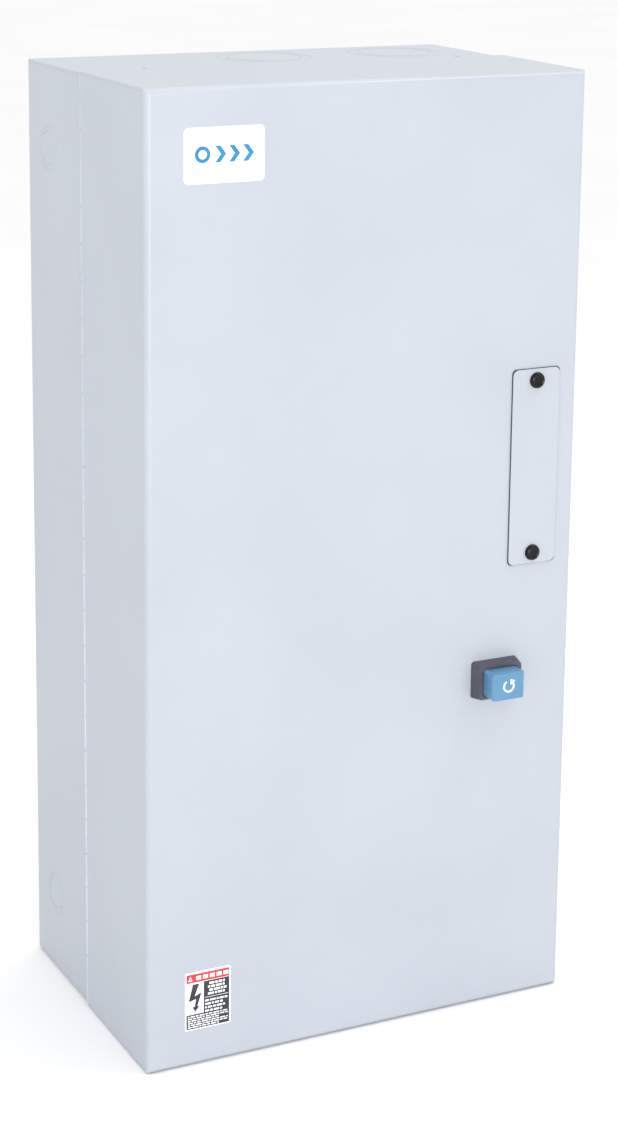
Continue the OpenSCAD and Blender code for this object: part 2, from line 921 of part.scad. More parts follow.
// Ground lug: a tongue under the screw and a block with the conductor hole
module ground_lug() {
    color("goldenrod")
    translate([ground_x, pan_front, ground_z])
        difference() {
            union() {
                block(-ground_w / 2, ground_w / 2, -ground_tongue, 0, -ground_w / 2, ground_w / 2);
                block(-ground_w / 2, ground_w / 2, -ground_lug_d, 0, ground_w / 2, ground_w * 1.5);
            }
            bar_y(0, 0, fixing_d + 0.4, -ground_tongue - 1, 1);
            translate([0, -ground_bore_d, ground_w / 2 - 1])
                cylinder(h = ground_w + 2, d = ground_bore_d);
        }
}

module ground_screw() {
    color("seagreen")
    translate([ground_x, pan_front - ground_tongue, ground_z])
        pan_screw(fixing_d, ground_tongue + pan_t, fixing_head_d, fixing_head_h);
}

// ---- Contactor, in its own frame: the front of the mounting plate is y = 0 ----

module contactor_base() {
    color("#2d2d30")
    at_contactor()
        difference() {
            union() {
                block(-contactor_w / 2, contactor_w / 2, -contactor_base_d, 0,
                    -contactor_h / 2, contactor_h / 2);
                block(-contactor_w / 2 - ledge_w, -contactor_w / 2 + 1, -ledge_depth, 0,
                    -ledge_h / 2, ledge_h / 2);
            }
            // room for the magnet and the coil
            along_y(-contactor_base_d - 1, -core_back)
                square(magnet_room, center = true);
            // screw notches at the corners
            for (i = [-1, 1], j = [-1, 1]) {
                translate([i * contactor_w / 2, -contactor_base_d / 2 - contactor_foot, j * contactor_h / 2])
                    cube([2 * contactor_notch, contactor_base_d, 2 * contactor_notch + 4], center = true);
                bar_y(i * contactor_screw_x, j * contactor_screw_z, fixing_d + 0.5, -contactor_foot - 1, 1);
            }
            // pockets for the return springs
            for (i = [-1, 1])
                bar_y(i * return_x, 0, 2 * return_spring_r + 2.4, -contactor_base_d - 1,
                    -contactor_base_d + return_pocket);
            // holes for the coil terminal screws
            for (j = [-1, 1])
                bar_y(-contactor_w / 2 - ledge_w / 2, j * tab_pitch / 2, tab_screw_d + 2 * run,
                    -ledge_depth - 1, -ledge_depth + tab_screw_len);
            // holes for the housing screws
            for (i = [-1, 1], j = [-1, 1])
                bar_y(i * housing_screw_x, j * housing_screw_z, housing_screw_d + 2 * run,
                    -contactor_base_d - 1, -contactor_base_d + housing_screw_bite);
        }
}

module contactor_screws() {
    color("silver")
    at_contactor()
        for (i = [-1, 1], j = [-1, 1])
            translate([i * contactor_screw_x, -contactor_foot, j * contactor_screw_z])
                pan_screw(fixing_d, contactor_foot + pan_t, fixing_head_d, fixing_head_h);
}

module magnet_core() {
    color("slategray")
    at_contactor()
        along_y(-core_back - core_yoke, -core_back)
            square([core_w, core_t], center = true);
    color("slategray")
    at_contactor()
        along_y(-core_face, -core_back - core_yoke + eps) {
            square([core_mid_leg, core_t], center = true);
            for (i = [-1, 1])
                translate([i * (core_w - core_side_leg) / 2, 0])
                    square([core_side_leg, core_t], center = true);
        }
}

module coil_bobbin() {
    tube = [bobbin_hole[0] + 2 * bobbin_wall, bobbin_hole[1] + 2 * bobbin_wall];
    color("#e8e4d8")
    at_contactor()
        difference() {
            union() {
                along_y(-bobbin_front, -bobbin_back)
                    square(tube, center = true);
                for (y = [-bobbin_front, -bobbin_back - bobbin_flange])
                    along_y(y, y + bobbin_flange)
                        round_rect(bobbin_w, bobbin_h, 3);
            }
            along_y(-bobbin_front - 1, -bobbin_back + 1)
                square(bobbin_hole, center = true);
        }
}

module coil_winding() {
    tube = [bobbin_hole[0] + 2 * bobbin_wall, bobbin_hole[1] + 2 * bobbin_wall];
    color("peru")
    at_contactor()
        difference() {
            along_y(-bobbin_front + bobbin_flange, -bobbin_back - bobbin_flange)
                round_rect(bobbin_w - 2, bobbin_h - 2, 4);
            along_y(-bobbin_front - 1, -bobbin_back + 1)
                square(tube, center = true);
        }
}

module contactor_housing() {
    inner = contactor_w / 2 - housing_wall;
    color("#3a3a3e")
    at_contactor()
        difference() {
            block(-contactor_w / 2, contactor_w / 2, -contactor_d, -contactor_base_d,
                -contactor_h / 2, contactor_h / 2);
            // arc chambers, parted by walls above the carrier
            difference() {
                block(-inner, inner, -contactor_d + housing_front_wall, -contactor_base_d + 1,
                    -chamber_h / 2, chamber_h / 2);
                for (i = [-1, 1])
                    block(i * pole_pitch / 2 - 1, i * pole_pitch / 2 + 1, -contactor_d, -carrier_front - 2,
                        -chamber_h, chamber_h);
            }
            // room for the screw heads at the corners of the base
            for (i = [-1, 1], j = [-1, 1])
                translate([i * contactor_w / 2, -contactor_d / 2, j * contactor_h / 2])
                    cube([2 * contactor_notch, contactor_d, 2 * contactor_notch + 4], center = true);
            for (x = pole_x, j = [-1, 1]) {
                // terminal channels, open to the front and the ends
                translate([x, 0, 0])
                    mirror([0, 0, j > 0 ? 0 : 1])
                        block(-channel_w / 2, channel_w / 2, -contactor_d - 1, -bar_back,
                            channel_start, contactor_h / 2 + 1);
                // slots for the conductors
                block(x - bar_w / 2, x + bar_w / 2, -bar_front, -bar_back,
                    -channel_start - 1, channel_start + 1);
            }
            // slot for the crossbar's side arm
            block(inner - 1, contactor_w / 2 + 1, -carrier_front - arm_room, -contactor_base_d + 1,
                -arm_h / 2 - arm_room, arm_h / 2 + arm_room);
            // window for the contact indicator
            bar_y(0, 0, indicator_d + 2 * clear, -contactor_d - 1, -contactor_d + housing_front_wall + 1);
            // holes for the housing screws
            for (i = [-1, 1], j = [-1, 1])
                bar_y(i * housing_screw_x, j * housing_screw_z, housing_screw_d + 2 * run,
                    -contactor_d - 1, 0);
        }
}

module housing_screws() {
    color("silver")
    at_contactor()
        for (i = [-1, 1], j = [-1, 1])
            translate([i * housing_screw_x, -contactor_d, j * housing_screw_z])
                pan_screw(housing_screw_d, contactor_d - contactor_base_d + housing_screw_bite,
                    small_screw_d, housing_head_h);
}

// Copper conductor with its silver contact, from the contact out to z = `end`
module conductor(x, end) {
    block(x - bar_w / 2, x + bar_w / 2, -bar_front, -bar_back, contact_in, end);
    block(x - bridge_w / 2, x + bridge_w / 2, -fixed_face, -bar_front + eps,
        contact_in, contact_in + contact_len);
}

module line_contacts() {
    color("chocolate")
    at_contactor()
        for (x = pole_x)
            conductor(x, line_end);
}

module load_contacts() {
    end = contactor_h / 2 + starter_gap + load_enter;
    color("chocolate")
    at_contactor()
        mirror([0, 0, 1])
            for (x = pole_x)
                conductor(x, end);
}

// Box lug: the conductor hole runs along Z, the clamping screw comes from the front
module box_lug() {
    difference() {
        block(-lug_w / 2, lug_w / 2, -lug_d, 0, -lug_h / 2, lug_h / 2);
        translate([0, -lug_bore_d / 2 - lug_floor, -lug_h])
            cylinder(h = 2 * lug_h, d = lug_bore_d);
        bar_y(0, 0, lug_screw_d + 2 * run, -lug_d - 1, -lug_bore_d / 2 - lug_floor);
    }
}

module lug_screw() {
    bottom = lug_bore_d + lug_floor + 1;
    difference() {
        bar_y(0, 0, lug_screw_d, -bottom - lug_screw_len, -bottom);
        along_y(-bottom - lug_screw_len - 1, -bottom - lug_screw_len + 3)
            circle(d = hex_socket_d, $fn = 6);
    }
}

module line_lugs() {
    color("silver")
    at_contactor()
        for (x = pole_x)
            translate([x, -bar_front, lug_z])
                box_lug();
}

module line_lug_screws() {
    color("gray")
    at_contactor()
        for (x = pole_x)
            translate([x, -bar_front, lug_z])
                lug_screw();
}

// Two screw terminals side by side on a ledge whose face is y = 0
module terminal_tabs() {
    for (j = [-1, 1])
        translate([0, 0, j * tab_pitch / 2])
            difference() {
                block(-tab_size / 2, tab_size / 2, -tab_t, 0, -tab_size / 2, tab_size / 2);
                bar_y(0, 0, tab_screw_d + 0.4, -tab_t - 1, 1);
            }
}

module terminal_screws() {
    for (j = [-1, 1])
        translate([0, -tab_t, j * tab_pitch / 2])
            pan_screw(tab_screw_d, tab_screw_len, small_screw_d, small_screw_h);
}

module at_coil_terminals() {
    at_contactor()
        translate([-contactor_w / 2 - ledge_w / 2, -ledge_depth, 0])
            children();
}

module at_relay_terminals() {
    at_relay()
        translate([-relay_w / 2 - ledge_w / 2, -relay_ledge_depth, relay_terminal_z])
            children();
}

module coil_terminals() {
    color("goldenrod")
    at_coil_terminals()
        terminal_tabs();
}

module coil_terminal_screws() {
    color("silver")
    at_coil_terminals()
        terminal_screws();
}

module return_springs() {
    wire = 0.8;
    color("silver")
    at_contactor()
        for (i = [-1, 1])
            translate([i * return_x, -contactor_base_d + return_pocket, 0])
                rotate([90, 0, 0])
                    coil_spring(return_spring_r, wire, armature_front - contactor_base_d + return_pocket, 6);
}

// Auxiliary contact block on the right side, worked by the crossbar's side arm
module aux_contact_block() {
    x0 = contactor_w / 2;
    color("#3a3a3e")
    at_contactor()
        difference() {
            union() {
                block(x0, x0 + aux_w, -aux_front, -aux_back, -aux_h / 2, aux_h / 2);
                block(x0, x0 + aux_w, -aux_front + aux_step, -aux_back - aux_step,
                    -aux_h / 2 - aux_step, aux_h / 2 + aux_step);
            }
            block(x0 - 1, x0 + arm_reach + 3, -carrier_front - 3 * arm_room, -contactor_base_d,
                -arm_h / 2 - 2 * arm_room, arm_h / 2 + 2 * arm_room);
        }
}

// ---- Moving part of the contactor ----

module armature() {
    color("slategray")
    at_contactor()
        along_y(-armature_front, -armature_back)
            square([core_w, core_t - 2], center = true);
}

module crossbar() {
    color("#7a2f25")
    at_contactor() {
        block(-carrier_w / 2, carrier_w / 2, -carrier_front, -armature_front, -carrier_h / 2, carrier_h / 2);
        block(carrier_w / 2 - 1, contactor_w / 2 + arm_reach, -carrier_front, -armature_front,
            -arm_h / 2, arm_h / 2);
        for (x = pole_x)
            translate([x, 0, 0])
                difference() {
                    block(-post_w / 2, post_w / 2, -post_front, -carrier_front + eps, -8, 8);
                    block(-bridge_w / 2, bridge_w / 2, -post_window_front, -bridge_back, -9, 9);
                }
        bar_y(0, 0, indicator_d, -contactor_d - indicator_out, -post_front + eps);
    }
}

module moving_contacts() {
    color("chocolate")
    at_contactor()
        for (x = pole_x)
            translate([x, 0, 0]) {
                block(-bridge_w / 2, bridge_w / 2, -bridge_back - bridge_t, -bridge_back,
                    -bridge_len / 2, bridge_len / 2);
                for (s = [0, 1])
                    mirror([0, 0, s])
                        block(-bridge_w / 2, bridge_w / 2, -bridge_back - eps, -moving_face,
                            contact_in, contact_in + contact_len);
            }
}

module contact_springs() {
    color("silver")
    at_contactor()
        for (x = pole_x)
            translate([x, -bridge_back - bridge_t, 0])
                rotate([90, 0, 0])
                    coil_spring(3.4, 0.9, spring_room, 4);
}

// ---- Overload relay, in its own frame ----

module relay_base() {
    color("#2d2d30")
    at_relay()
        difference() {
            union() {
                block(-relay_w / 2, relay_w / 2, -relay_base_d, 0, -relay_h / 2, relay_h / 2);
                block(-relay_w / 2 - ledge_w, -relay_w / 2 + 1, -relay_ledge_depth, 0,
                    relay_terminal_z - relay_ledge_h / 2, relay_terminal_z + relay_ledge_h / 2);
                for (i = [-1, 1])
                    block(i * relay_w / 2 + min(0, i * relay_ear), i * relay_w / 2 + max(0, i * relay_ear),
                        -relay_foot, 0, -relay_ear_h / 2, relay_ear_h / 2);
            }
            for (i = [-1, 1]) {
                bar_y(i * relay_screw_x, 0, fixing_d + 0.5, -relay_foot - 1, 1);
                // access to the heads of the fixing screws
                bar_y(i * relay_screw_x, 0, fixing_head_d + 1, -relay_base_d, -relay_foot);
            }
            for (j = [-1, 1])
                bar_y(-relay_w / 2 - ledge_w / 2, relay_terminal_z + j * tab_pitch / 2, tab_screw_d + 2 * run,
                    -relay_ledge_depth - 1, -relay_ledge_depth + tab_screw_len);
        }
}

module relay_screws() {
    color("silver")
    at_relay()
        for (i = [-1, 1])
            translate([i * relay_screw_x, -relay_foot, 0])
                pan_screw(fixing_d, relay_foot + pan_t, fixing_head_d, fixing_head_h);
}

module relay_cover() {
    color("#3a3a3e")
    at_relay()
        difference() {
            block(-relay_w / 2, relay_w / 2, -relay_d, -relay_base_d, -relay_h / 2, relay_h / 2);
            for (x = pole_x) {
                // slots for the conductors from the contactor and to the load lugs
                block(x - bar_w / 2, x + bar_w / 2, -bar_front, -bar_back,
                    relay_h / 2 - load_enter, relay_h / 2 + 1);
                block(x - bar_w / 2, x + bar_w / 2, -load_strap_back - bar_t, -load_strap_back,
                    -relay_h / 2 - 1, -relay_h / 2 + load_enter);
                for (j = [-1, 1])
                    bar_y(x, heater_z + j * heater_screw_pitch / 2, heater_screw_d + 2 * run,
                        -relay_d - 1, -bar_front);
            }
            bar_y(plunger_x, controls_z, plunger_d + 2 * run, -relay_d - 1,
                -relay_d + plunger_hold + button_travel + clear);
            bar_y(test_x, controls_z, test_d + 2 * run, -relay_d - 1,
                -relay_d + stem_len + test_travel + clear);
            for (x = [mode_x, dial_x])
                bar_y(x, controls_z, stem_d + 2 * run, -relay_d - 1, -relay_d + stem_len + clear);
        }
}

// Plug-in heater packs on the front of the relay
module heater_packs() {
    color("#c8b48a")
    at_relay()
        for (x = pole_x)
            translate([x, -relay_d, heater_z])
                difference() {
                    union() {
                        block(-heater_w / 2, heater_w / 2, -heater_flange_t, 0,
                            -heater_len / 2, heater_len / 2);
                        block(-heater_w / 2, heater_w / 2, -heater_t, 0, -heater_body / 2, heater_body / 2);
                    }
                    for (j = [-1, 1])
                        bar_y(0, j * heater_screw_pitch / 2, heater_screw_d + 0.4, -heater_flange_t - 1, 1);
                }
}

module heater_screws() {
    color("silver")
    at_relay()
        for (x = pole_x, j = [-1, 1])
            translate([x, -relay_d - heater_flange_t, heater_z + j * heater_screw_pitch / 2])
                pan_screw(heater_screw_d, heater_flange_t + heater_screw_bite, small_screw_d, small_screw_h);
}

module load_straps() {
    color("chocolate")
    at_relay()
        for (x = pole_x)
            block(x - bar_w / 2, x + bar_w / 2, -load_strap_back - bar_t, -load_strap_back,
                -relay_h / 2 - strap_out - lug_h / 4, -relay_h / 2 + load_enter);
}

module at_load_lugs() {
    at_relay()
        for (x = pole_x)
            translate([x, -load_strap_back - bar_t, -relay_h / 2 - 1 - lug_h / 2])
                children();
}

module load_lugs() {
    color("silver")
    at_load_lugs()
        box_lug();
}

module load_lug_screws() {
    color("gray")
    at_load_lugs()
        lug_screw();
}

module relay_terminals() {
    color("goldenrod")
    at_relay_terminals()
        terminal_tabs();
}

module relay_terminal_screws() {
    color("silver")
    at_relay_terminals()
        terminal_screws();
}

// Control wires between the coil terminals and the relay terminals
module control_wires() {
    wire_d = 2.8;
    bow = [36, 0, 0];
    start_x = starter_x - contactor_w / 2 - ledge_w / 2 - tab_size / 2;
    end_x = starter_x - relay_w / 2 - ledge_w / 2 - tab_size / 2;
    color("firebrick")
    for (j = [-1, 1]) {
        start = [start_x, pan_front - ledge_depth - wire_d / 2, contactor_z + j * tab_pitch / 2];
        end = [end_x, pan_front - relay_ledge_depth - wire_d / 2, relay_z + relay_terminal_z - j * tab_pitch / 2];
        reach = bow * (j > 0 ? 1.5 : 1);
        wire_run([start, start - reach, end - reach, end], wire_d);
    }
}

module relay_reset_plunger() {
    color("cornflowerblue")
    at_relay()
        bar_y(plunger_x, controls_z, plunger_d, -relay_d - plunger_out, -relay_d + plunger_hold);
}

module test_button() {
    color("firebrick")
    at_relay()
        bar_y(test_x, controls_z, test_d, -relay_d - test_out, -relay_d + stem_len);
}

// A round knob with a pointer slot, turning on a stem in the relay cover
module slotted_knob(x, d) {
    at_relay()
        translate([x, -relay_d - clear, controls_z])
            difference() {
                union() {
                    bar_y(0, 0, d, -dial_out, 0);
                    bar_y(0, 0, stem_d, -eps, stem_len + clear);
                }
                block(-0.8, 0.8, -dial_out - 1, -dial_out + 1.2, -d / 2 + 2, d / 2 + 1);
            }
}

module mode_selector() {
    color("white")
    slotted_knob(mode_x, mode_d);
}

module current_dial() {
    color("white")
    slotted_knob(dial_x, dial_d);
}

back_box();
lip_frame();
hinge_box_leaf();
hinge_pin();
standoffs();
mounting_plate();
plate_screws();
ground_lug();
ground_screw();
contactor_base();
contactor_screws();
magnet_core();
coil_bobbin();
coil_winding();
contactor_housing();
housing_screws();
line_contacts();
load_contacts();
line_lugs();
line_lug_screws();
coil_terminals();
coil_terminal_screws();
return_springs();
aux_contact_block();
relay_base();
relay_cover();
relay_screws();
heater_packs();
heater_screws();
load_straps();
load_lugs();
load_lug_screws();
relay_terminals();
relay_terminal_screws();
control_wires();
armature();
crossbar();
moving_contacts();
contact_springs();
relay_reset_plunger();
test_button();
mode_selector();
current_dial();
cover();
hinge_cover_leaf();
pilot_plate();
plate_fasteners();
front_label();
hazard_label();
wiring_label();
reset_bezel();
bezel_clip();
reset_spring();
cover_nuts();
reset_button();
reset_rod();
cover_screw_upper();
cover_screw_lower();
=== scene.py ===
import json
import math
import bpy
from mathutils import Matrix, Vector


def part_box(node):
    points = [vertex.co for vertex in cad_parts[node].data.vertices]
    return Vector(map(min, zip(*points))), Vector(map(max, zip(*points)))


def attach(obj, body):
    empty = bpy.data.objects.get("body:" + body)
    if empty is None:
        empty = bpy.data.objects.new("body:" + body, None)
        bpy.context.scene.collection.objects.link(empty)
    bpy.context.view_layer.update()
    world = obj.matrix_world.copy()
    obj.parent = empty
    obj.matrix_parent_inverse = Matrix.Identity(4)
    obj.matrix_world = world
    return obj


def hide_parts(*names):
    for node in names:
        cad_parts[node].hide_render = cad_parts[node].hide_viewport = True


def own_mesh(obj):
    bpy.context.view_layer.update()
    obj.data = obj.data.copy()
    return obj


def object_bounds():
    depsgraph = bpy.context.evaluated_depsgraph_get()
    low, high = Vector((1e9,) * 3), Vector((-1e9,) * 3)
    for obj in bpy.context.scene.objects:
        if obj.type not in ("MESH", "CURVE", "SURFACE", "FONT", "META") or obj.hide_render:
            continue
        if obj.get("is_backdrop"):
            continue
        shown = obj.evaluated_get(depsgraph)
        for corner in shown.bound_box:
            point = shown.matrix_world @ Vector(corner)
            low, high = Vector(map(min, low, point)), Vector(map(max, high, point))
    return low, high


bl_info = {
    "name": "Motor starter looks",
    "version": (1, 0, 0),
    "blender": (4, 5, 0),
    "location": "View3D > Sidebar > Starter",
    "description": "Builds the finishes, labels, springs and stage of an enclosed magnetic motor starter",
    "category": "Object",
}

import bmesh
import bpy
from bpy.props import FloatProperty, FloatVectorProperty, PointerProperty
from mathutils import Matrix, Vector

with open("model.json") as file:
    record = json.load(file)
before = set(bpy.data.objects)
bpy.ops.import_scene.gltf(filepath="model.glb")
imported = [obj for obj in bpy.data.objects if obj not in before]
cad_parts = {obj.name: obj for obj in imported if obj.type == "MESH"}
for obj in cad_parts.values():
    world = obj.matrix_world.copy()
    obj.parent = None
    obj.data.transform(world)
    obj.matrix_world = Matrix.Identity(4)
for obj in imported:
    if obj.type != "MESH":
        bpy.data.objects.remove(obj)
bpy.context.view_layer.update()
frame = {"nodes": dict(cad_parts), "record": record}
MM = 0.001
# edges that bend by more than this are shaded sharp, and are the ones that soften() rounds
SHARP = math.radians(35)
# the directions in which a square corner is planed to make it round
PLANED = [math.radians(step * 90 / 8) for step in range(1, 8)]
# doubled vertices of a CAD mesh are closer than this
WELD = 0.002 * MM
# sizes of the sheet metal: thickness, fold radius, corner slit and the room round the hinge knuckles
SHEET = 1.5 * MM
BEND = 4 * MM
CORNER_SLIT = 0.4 * MM
KNUCKLE_ROOM = 2.2 * MM
# radii of the sheared rings, in the top and the bottom and in the sides
END_KNOCKOUTS = (25 * MM, 31.35 * MM)
SIDE_KNOCKOUTS = (11.1 * MM, 14.3 * MM)
# points this close to a front face count as on it
ON_FACE = 0.1 * MM


def srgb(code):
    """A hex colour as linear values with alpha."""
    values = [int(code[i : i + 2], 16) / 255 for i in (1, 3, 5)]
    return [v / 12.92 if v <= 0.04045 else ((v + 0.055) / 1.055) ** 2.4 for v in values] + [1.0]


# ---- Finishes ----


def add_node(tree, kind, inputs=None, links=None, **settings):
    """Adds a node, sets its properties and input values, and links its inputs."""
    made = tree.nodes.new(kind)
    for key, value in settings.items():
        setattr(made, key, value)
    for key, value in (inputs or {}).items():
        made.inputs[key].default_value = value
    for key, socket in (links or {}).items():
        tree.links.new(socket, made.inputs[key])
    return made


# Each finish: its two close tints, the size of its patches in mm, its roughness from and to,
# the size in mm and height in mm of its grain, and what else the real one has.
FINISHES = {
    # Baked enamel on sheet steel: satin, light blue-grey, a faint orange peel about 2 mm across
    "baked_enamel": dict(hexes=("#aeb4bd", "#b1b7c0"), patch=90,
                         rough=(0.35, 0.39), grain=(2.0, 0.016), ior=1.5),
    # Zinc-plated steel: cool bright metal with a faint cloudy bloom
    "zinc_plate": dict(hexes=("#b9bcc0", "#cfd2d6"), patch=14,
                       rough=(0.28, 0.42), grain=(0.8, 0.01), metal=1),
    # Rolled steel strip of the piano hinge, bright under its thin enamel
    "hinge_steel": dict(hexes=("#cdd5e2", "#dbe2ed"), patch=20,
                        rough=(0.25, 0.35), grain=(0.8, 0.01), metal=1),
    # Ground steel laminations about 0.5 mm thick, drawn 1.2 mm apart so that they show
    "steel_laminations": dict(hexes=("#6d7075", "#85888d"), patch=9,
                              rough=(0.34, 0.5), grain=(0.6, 0.01), metal=1,
                              bands=("Z", 1.2, 0.06)),
    # Black phenolic moulding: dull, with a fine mineral grain
    "black_phenolic": dict(hexes=("#1b1c1f", "#24262a"), patch=22,
                           rough=(0.42, 0.58), grain=(0.7, 0.02), ior=1.6),
    # Dark grey moulded housing: satin, lightly sparked texture
    "dark_moulding": dict(hexes=("#34363c", "#3d4047"), patch=30,
                          rough=(0.46, 0.6), grain=(0.6, 0.03), ior=1.54),
    # Dark grey moulded bezel, the same texture in a bluer grey
    "bezel_moulding": dict(hexes=("#43434e", "#4d4d59"), patch=12,
                           rough=(0.42, 0.54), grain=(0.6, 0.02), ior=1.53),
    # Black nylon push fasteners: smooth and glossy
    "black_nylon": dict(hexes=("#060709", "#0c0d10"), patch=6,
                        rough=(0.16, 0.24), grain=(0.9, 0.006), ior=1.36),
    # Blue moulded ABS: smooth satin with faint flow marks
    "blue_abs": dict(hexes=("#5485aa", "#5888ad"), patch=11,
                     rough=(0.26, 0.3), grain=(0.9, 0.003), ior=1.54),
    # Natural nylon of the coil former: milky
    "natural_nylon": dict(hexes=("#ddd8c6", "#e7e3d4"), patch=12,
                          rough=(0.38, 0.5), grain=(0.7, 0.01), ior=1.53),
    # Varnished coil tape wound round and round, its turns 2.5 mm apart
    "coil_tape": dict(hexes=("#8a5a26", "#a8743a"), patch=10,
                      rough=(0.3, 0.5), grain=(0.5, 0.02), ior=1.5,
                      bands=("Y", 2.5, 0.12)),
    # Sponge rubber of the plate's gasket, soft and dull; its dark grey is partly the rubber and partly
    # painted shadow, the shade line in the gap round the cover plate
    "gasket_rubber_painted_shadow": dict(hexes=("#3c3e44", "#494b51"), patch=5,
                          rough=(0.7, 0.85), grain=(0.5, 0.04), ior=1.5),
    # Bare copper bar: warm, a little tarnished
    "copper_bar": dict(hexes=("#b06a45", "#cf8c64"), patch=8,
                       rough=(0.26, 0.42), grain=(0.6, 0.01), metal=1),
    # Plated brass terminals
    "terminal_brass": dict(hexes=("#b89a55", "#cdb374"), patch=6,
                           rough=(0.25, 0.38), grain=(0.6, 0.008), metal=1),
    # Tin-plated aluminium lugs: pale and slightly frosted
    "tinned_lug": dict(hexes=("#c3c5c8", "#d6d8da"), patch=8,
                       rough=(0.34, 0.48), grain=(0.5, 0.015), metal=1),
    # Moulded tan phenolic of the heater packs, with mottled filler
    "heater_body": dict(hexes=("#a38b5f", "#b79f72"), patch=3,
                        rough=(0.5, 0.62), grain=(0.8, 0.03), ior=1.6),
    # Dark red moulded crossbar
    "red_moulding": dict(hexes=("#6b241d", "#7b2d24"), patch=10,
                         rough=(0.4, 0.55), grain=(0.6, 0.02), ior=1.55),
    # Glossy white label film
    "label_film": dict(hexes=("#f6f7f8", "#fcfcfc"), patch=25,
                       rough=(0.2, 0.3), grain=(3.0, 0.004), ior=1.5),
    # Printed inks on the labels: flat colour with a slight uneven lay
    "blue_ink": dict(hexes=("#1c7bb0", "#2384b9"), patch=5,
                     rough=(0.3, 0.38), grain=(0.5, 0.002), ior=1.5),
    "red_ink": dict(hexes=("#d02b33", "#da363c"), patch=5,
                    rough=(0.3, 0.38), grain=(0.5, 0.002), ior=1.5),
    "black_ink": dict(hexes=("#25272c", "#2f3137"), patch=5,
                      rough=(0.3, 0.38), grain=(0.5, 0.002), ior=1.5),
    "white_ink": dict(hexes=("#f1f4f7", "#fafbfc"), patch=5,
                      rough=(0.32, 0.4), grain=(0.5, 0.002), ior=1.5),
    # Extruded PVC of the control wires
    "red_pvc": dict(hexes=("#8e1f1c", "#a02723"), patch=12,
                    rough=(0.3, 0.42), grain=(1.2, 0.008), ior=1.52),
    # Green lacquer on the ground screw
    "green_lacquer": dict(hexes=("#1f6b3c", "#2a7a49"), patch=4,
                          rough=(0.25, 0.36), grain=(0.6, 0.008), ior=1.5),
    # White moulded knobs and rod
    "white_moulding": dict(hexes=("#dfdfda", "#e9e9e5"), patch=10,
                           rough=(0.35, 0.45), grain=(0.7, 0.008), ior=1.53),
    # Drawn spring wire
    "spring_wire": dict(hexes=("#8f9297", "#a9acb0"), patch=4,
                        rough=(0.24, 0.36), grain=(0.4, 0.006), metal=1),
    # Matte white sweep of the studio
    "studio_white": dict(hexes=("#fafafa", "#fcfcfc"), patch=400,
                         rough=(0.85, 0.9), grain=(3.0, 0.004), ior=1.45),
}


def finish(name):
    """The material of that name, made when it is first asked for."""
    if name in bpy.data.materials:
        return bpy.data.materials[name]
    look = FINISHES[name]
    material = bpy.data.materials.new(name)
    material.use_nodes = True
    tree = material.node_tree
    tree.nodes.clear()
    place = add_node(tree, "ShaderNodeTexCoord").outputs["Object"]

    # patches of the two tints, which also vary the roughness
    patch_scale = 1 / (look["patch"] * MM)
    patches = add_node(tree, "ShaderNodeTexNoise", {"Scale": patch_scale, "Detail": 4.0},
                       {"Vector": place}).outputs["Fac"]
    spread = add_node(tree, "ShaderNodeMapRange", {"From Min": 0.36, "From Max": 0.64}, {"Value": patches})
    dark, light = (srgb(code) for code in look["hexes"])
    tints = add_node(tree, "ShaderNodeMix", {6: dark, 7: light}, {0: spread.outputs["Result"]},
                     data_type="RGBA")
    low, high = look["rough"]
    gloss = add_node(tree, "ShaderNodeMapRange",
                     {"From Min": 0.3, "From Max": 0.7, "To Min": low, "To Max": high}, {"Value": patches})

    # the relief is the grain, or bands where the piece is laminated or wound
    grain_size, relief_height = look["grain"]
    relief = add_node(tree, "ShaderNodeTexNoise", {"Scale": 1 / (grain_size * MM), "Detail": 3.0},
                      {"Vector": place}).outputs["Fac"]
    if "bands" in look:
        axis, pitch, relief_height = look["bands"]
        # a wave of scale 1 repeats every 20 radians, and this one once in each pitch
        wave_scale = math.pi / 10 / (pitch * MM)
        relief = add_node(tree, "ShaderNodeTexWave", {"Scale": wave_scale, "Distortion": 0.4},
                          {"Vector": place}, bands_direction=axis, wave_profile="SIN").outputs["Fac"]
    bump = add_node(tree, "ShaderNodeBump", {"Strength": 1.0, "Distance": relief_height * MM},
                    {"Height": relief})
    shader = add_node(tree, "ShaderNodeBsdfPrincipled",
                      {"Metallic": float(look.get("metal", 0)), "IOR": look.get("ior", 1.5)},
                      {"Base Color": tints.outputs[2], "Roughness": gloss.outputs["Result"],
                       "Normal": bump.outputs["Normal"]})
    add_node(tree, "ShaderNodeOutputMaterial", links={"Surface": shader.outputs["BSDF"]})
    return material


# ---- Making pieces ----


def show(name, bm, body, finish_name, stands_for=(), smooth=True):
    """Turns a bmesh into a piece that rides on a body."""
    mesh = bpy.data.meshes.new(name)
    for face in bm.faces:
        face.smooth = smooth
    bm.to_mesh(mesh)
    bm.free()
    if smooth:
        mesh.set_sharp_from_angle(angle=SHARP)
    piece = bpy.data.objects.new(name, mesh)
    bpy.context.scene.collection.objects.link(piece)
    mesh.materials.append(finish(finish_name))
    if smooth:
        even = piece.modifiers.new("even_normals", "WEIGHTED_NORMAL")
        even.keep_sharp = True
        even.weight = 100
    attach(piece, body)
    if stands_for:
        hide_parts(*stands_for)
    return piece


def soften(bm, width, segments=2):
    """Rounds every sharp outer edge a little, as a moulding or a cut sheet has."""
    edges = [e for e in bm.edges if e.is_manifold and e.is_convex and e.calc_face_angle(0) > SHARP]
    bmesh.ops.bevel(bm, geom=edges, offset=width, segments=segments, affect="EDGES", profile=0.5, material=-1,
                    clamp_overlap=True)


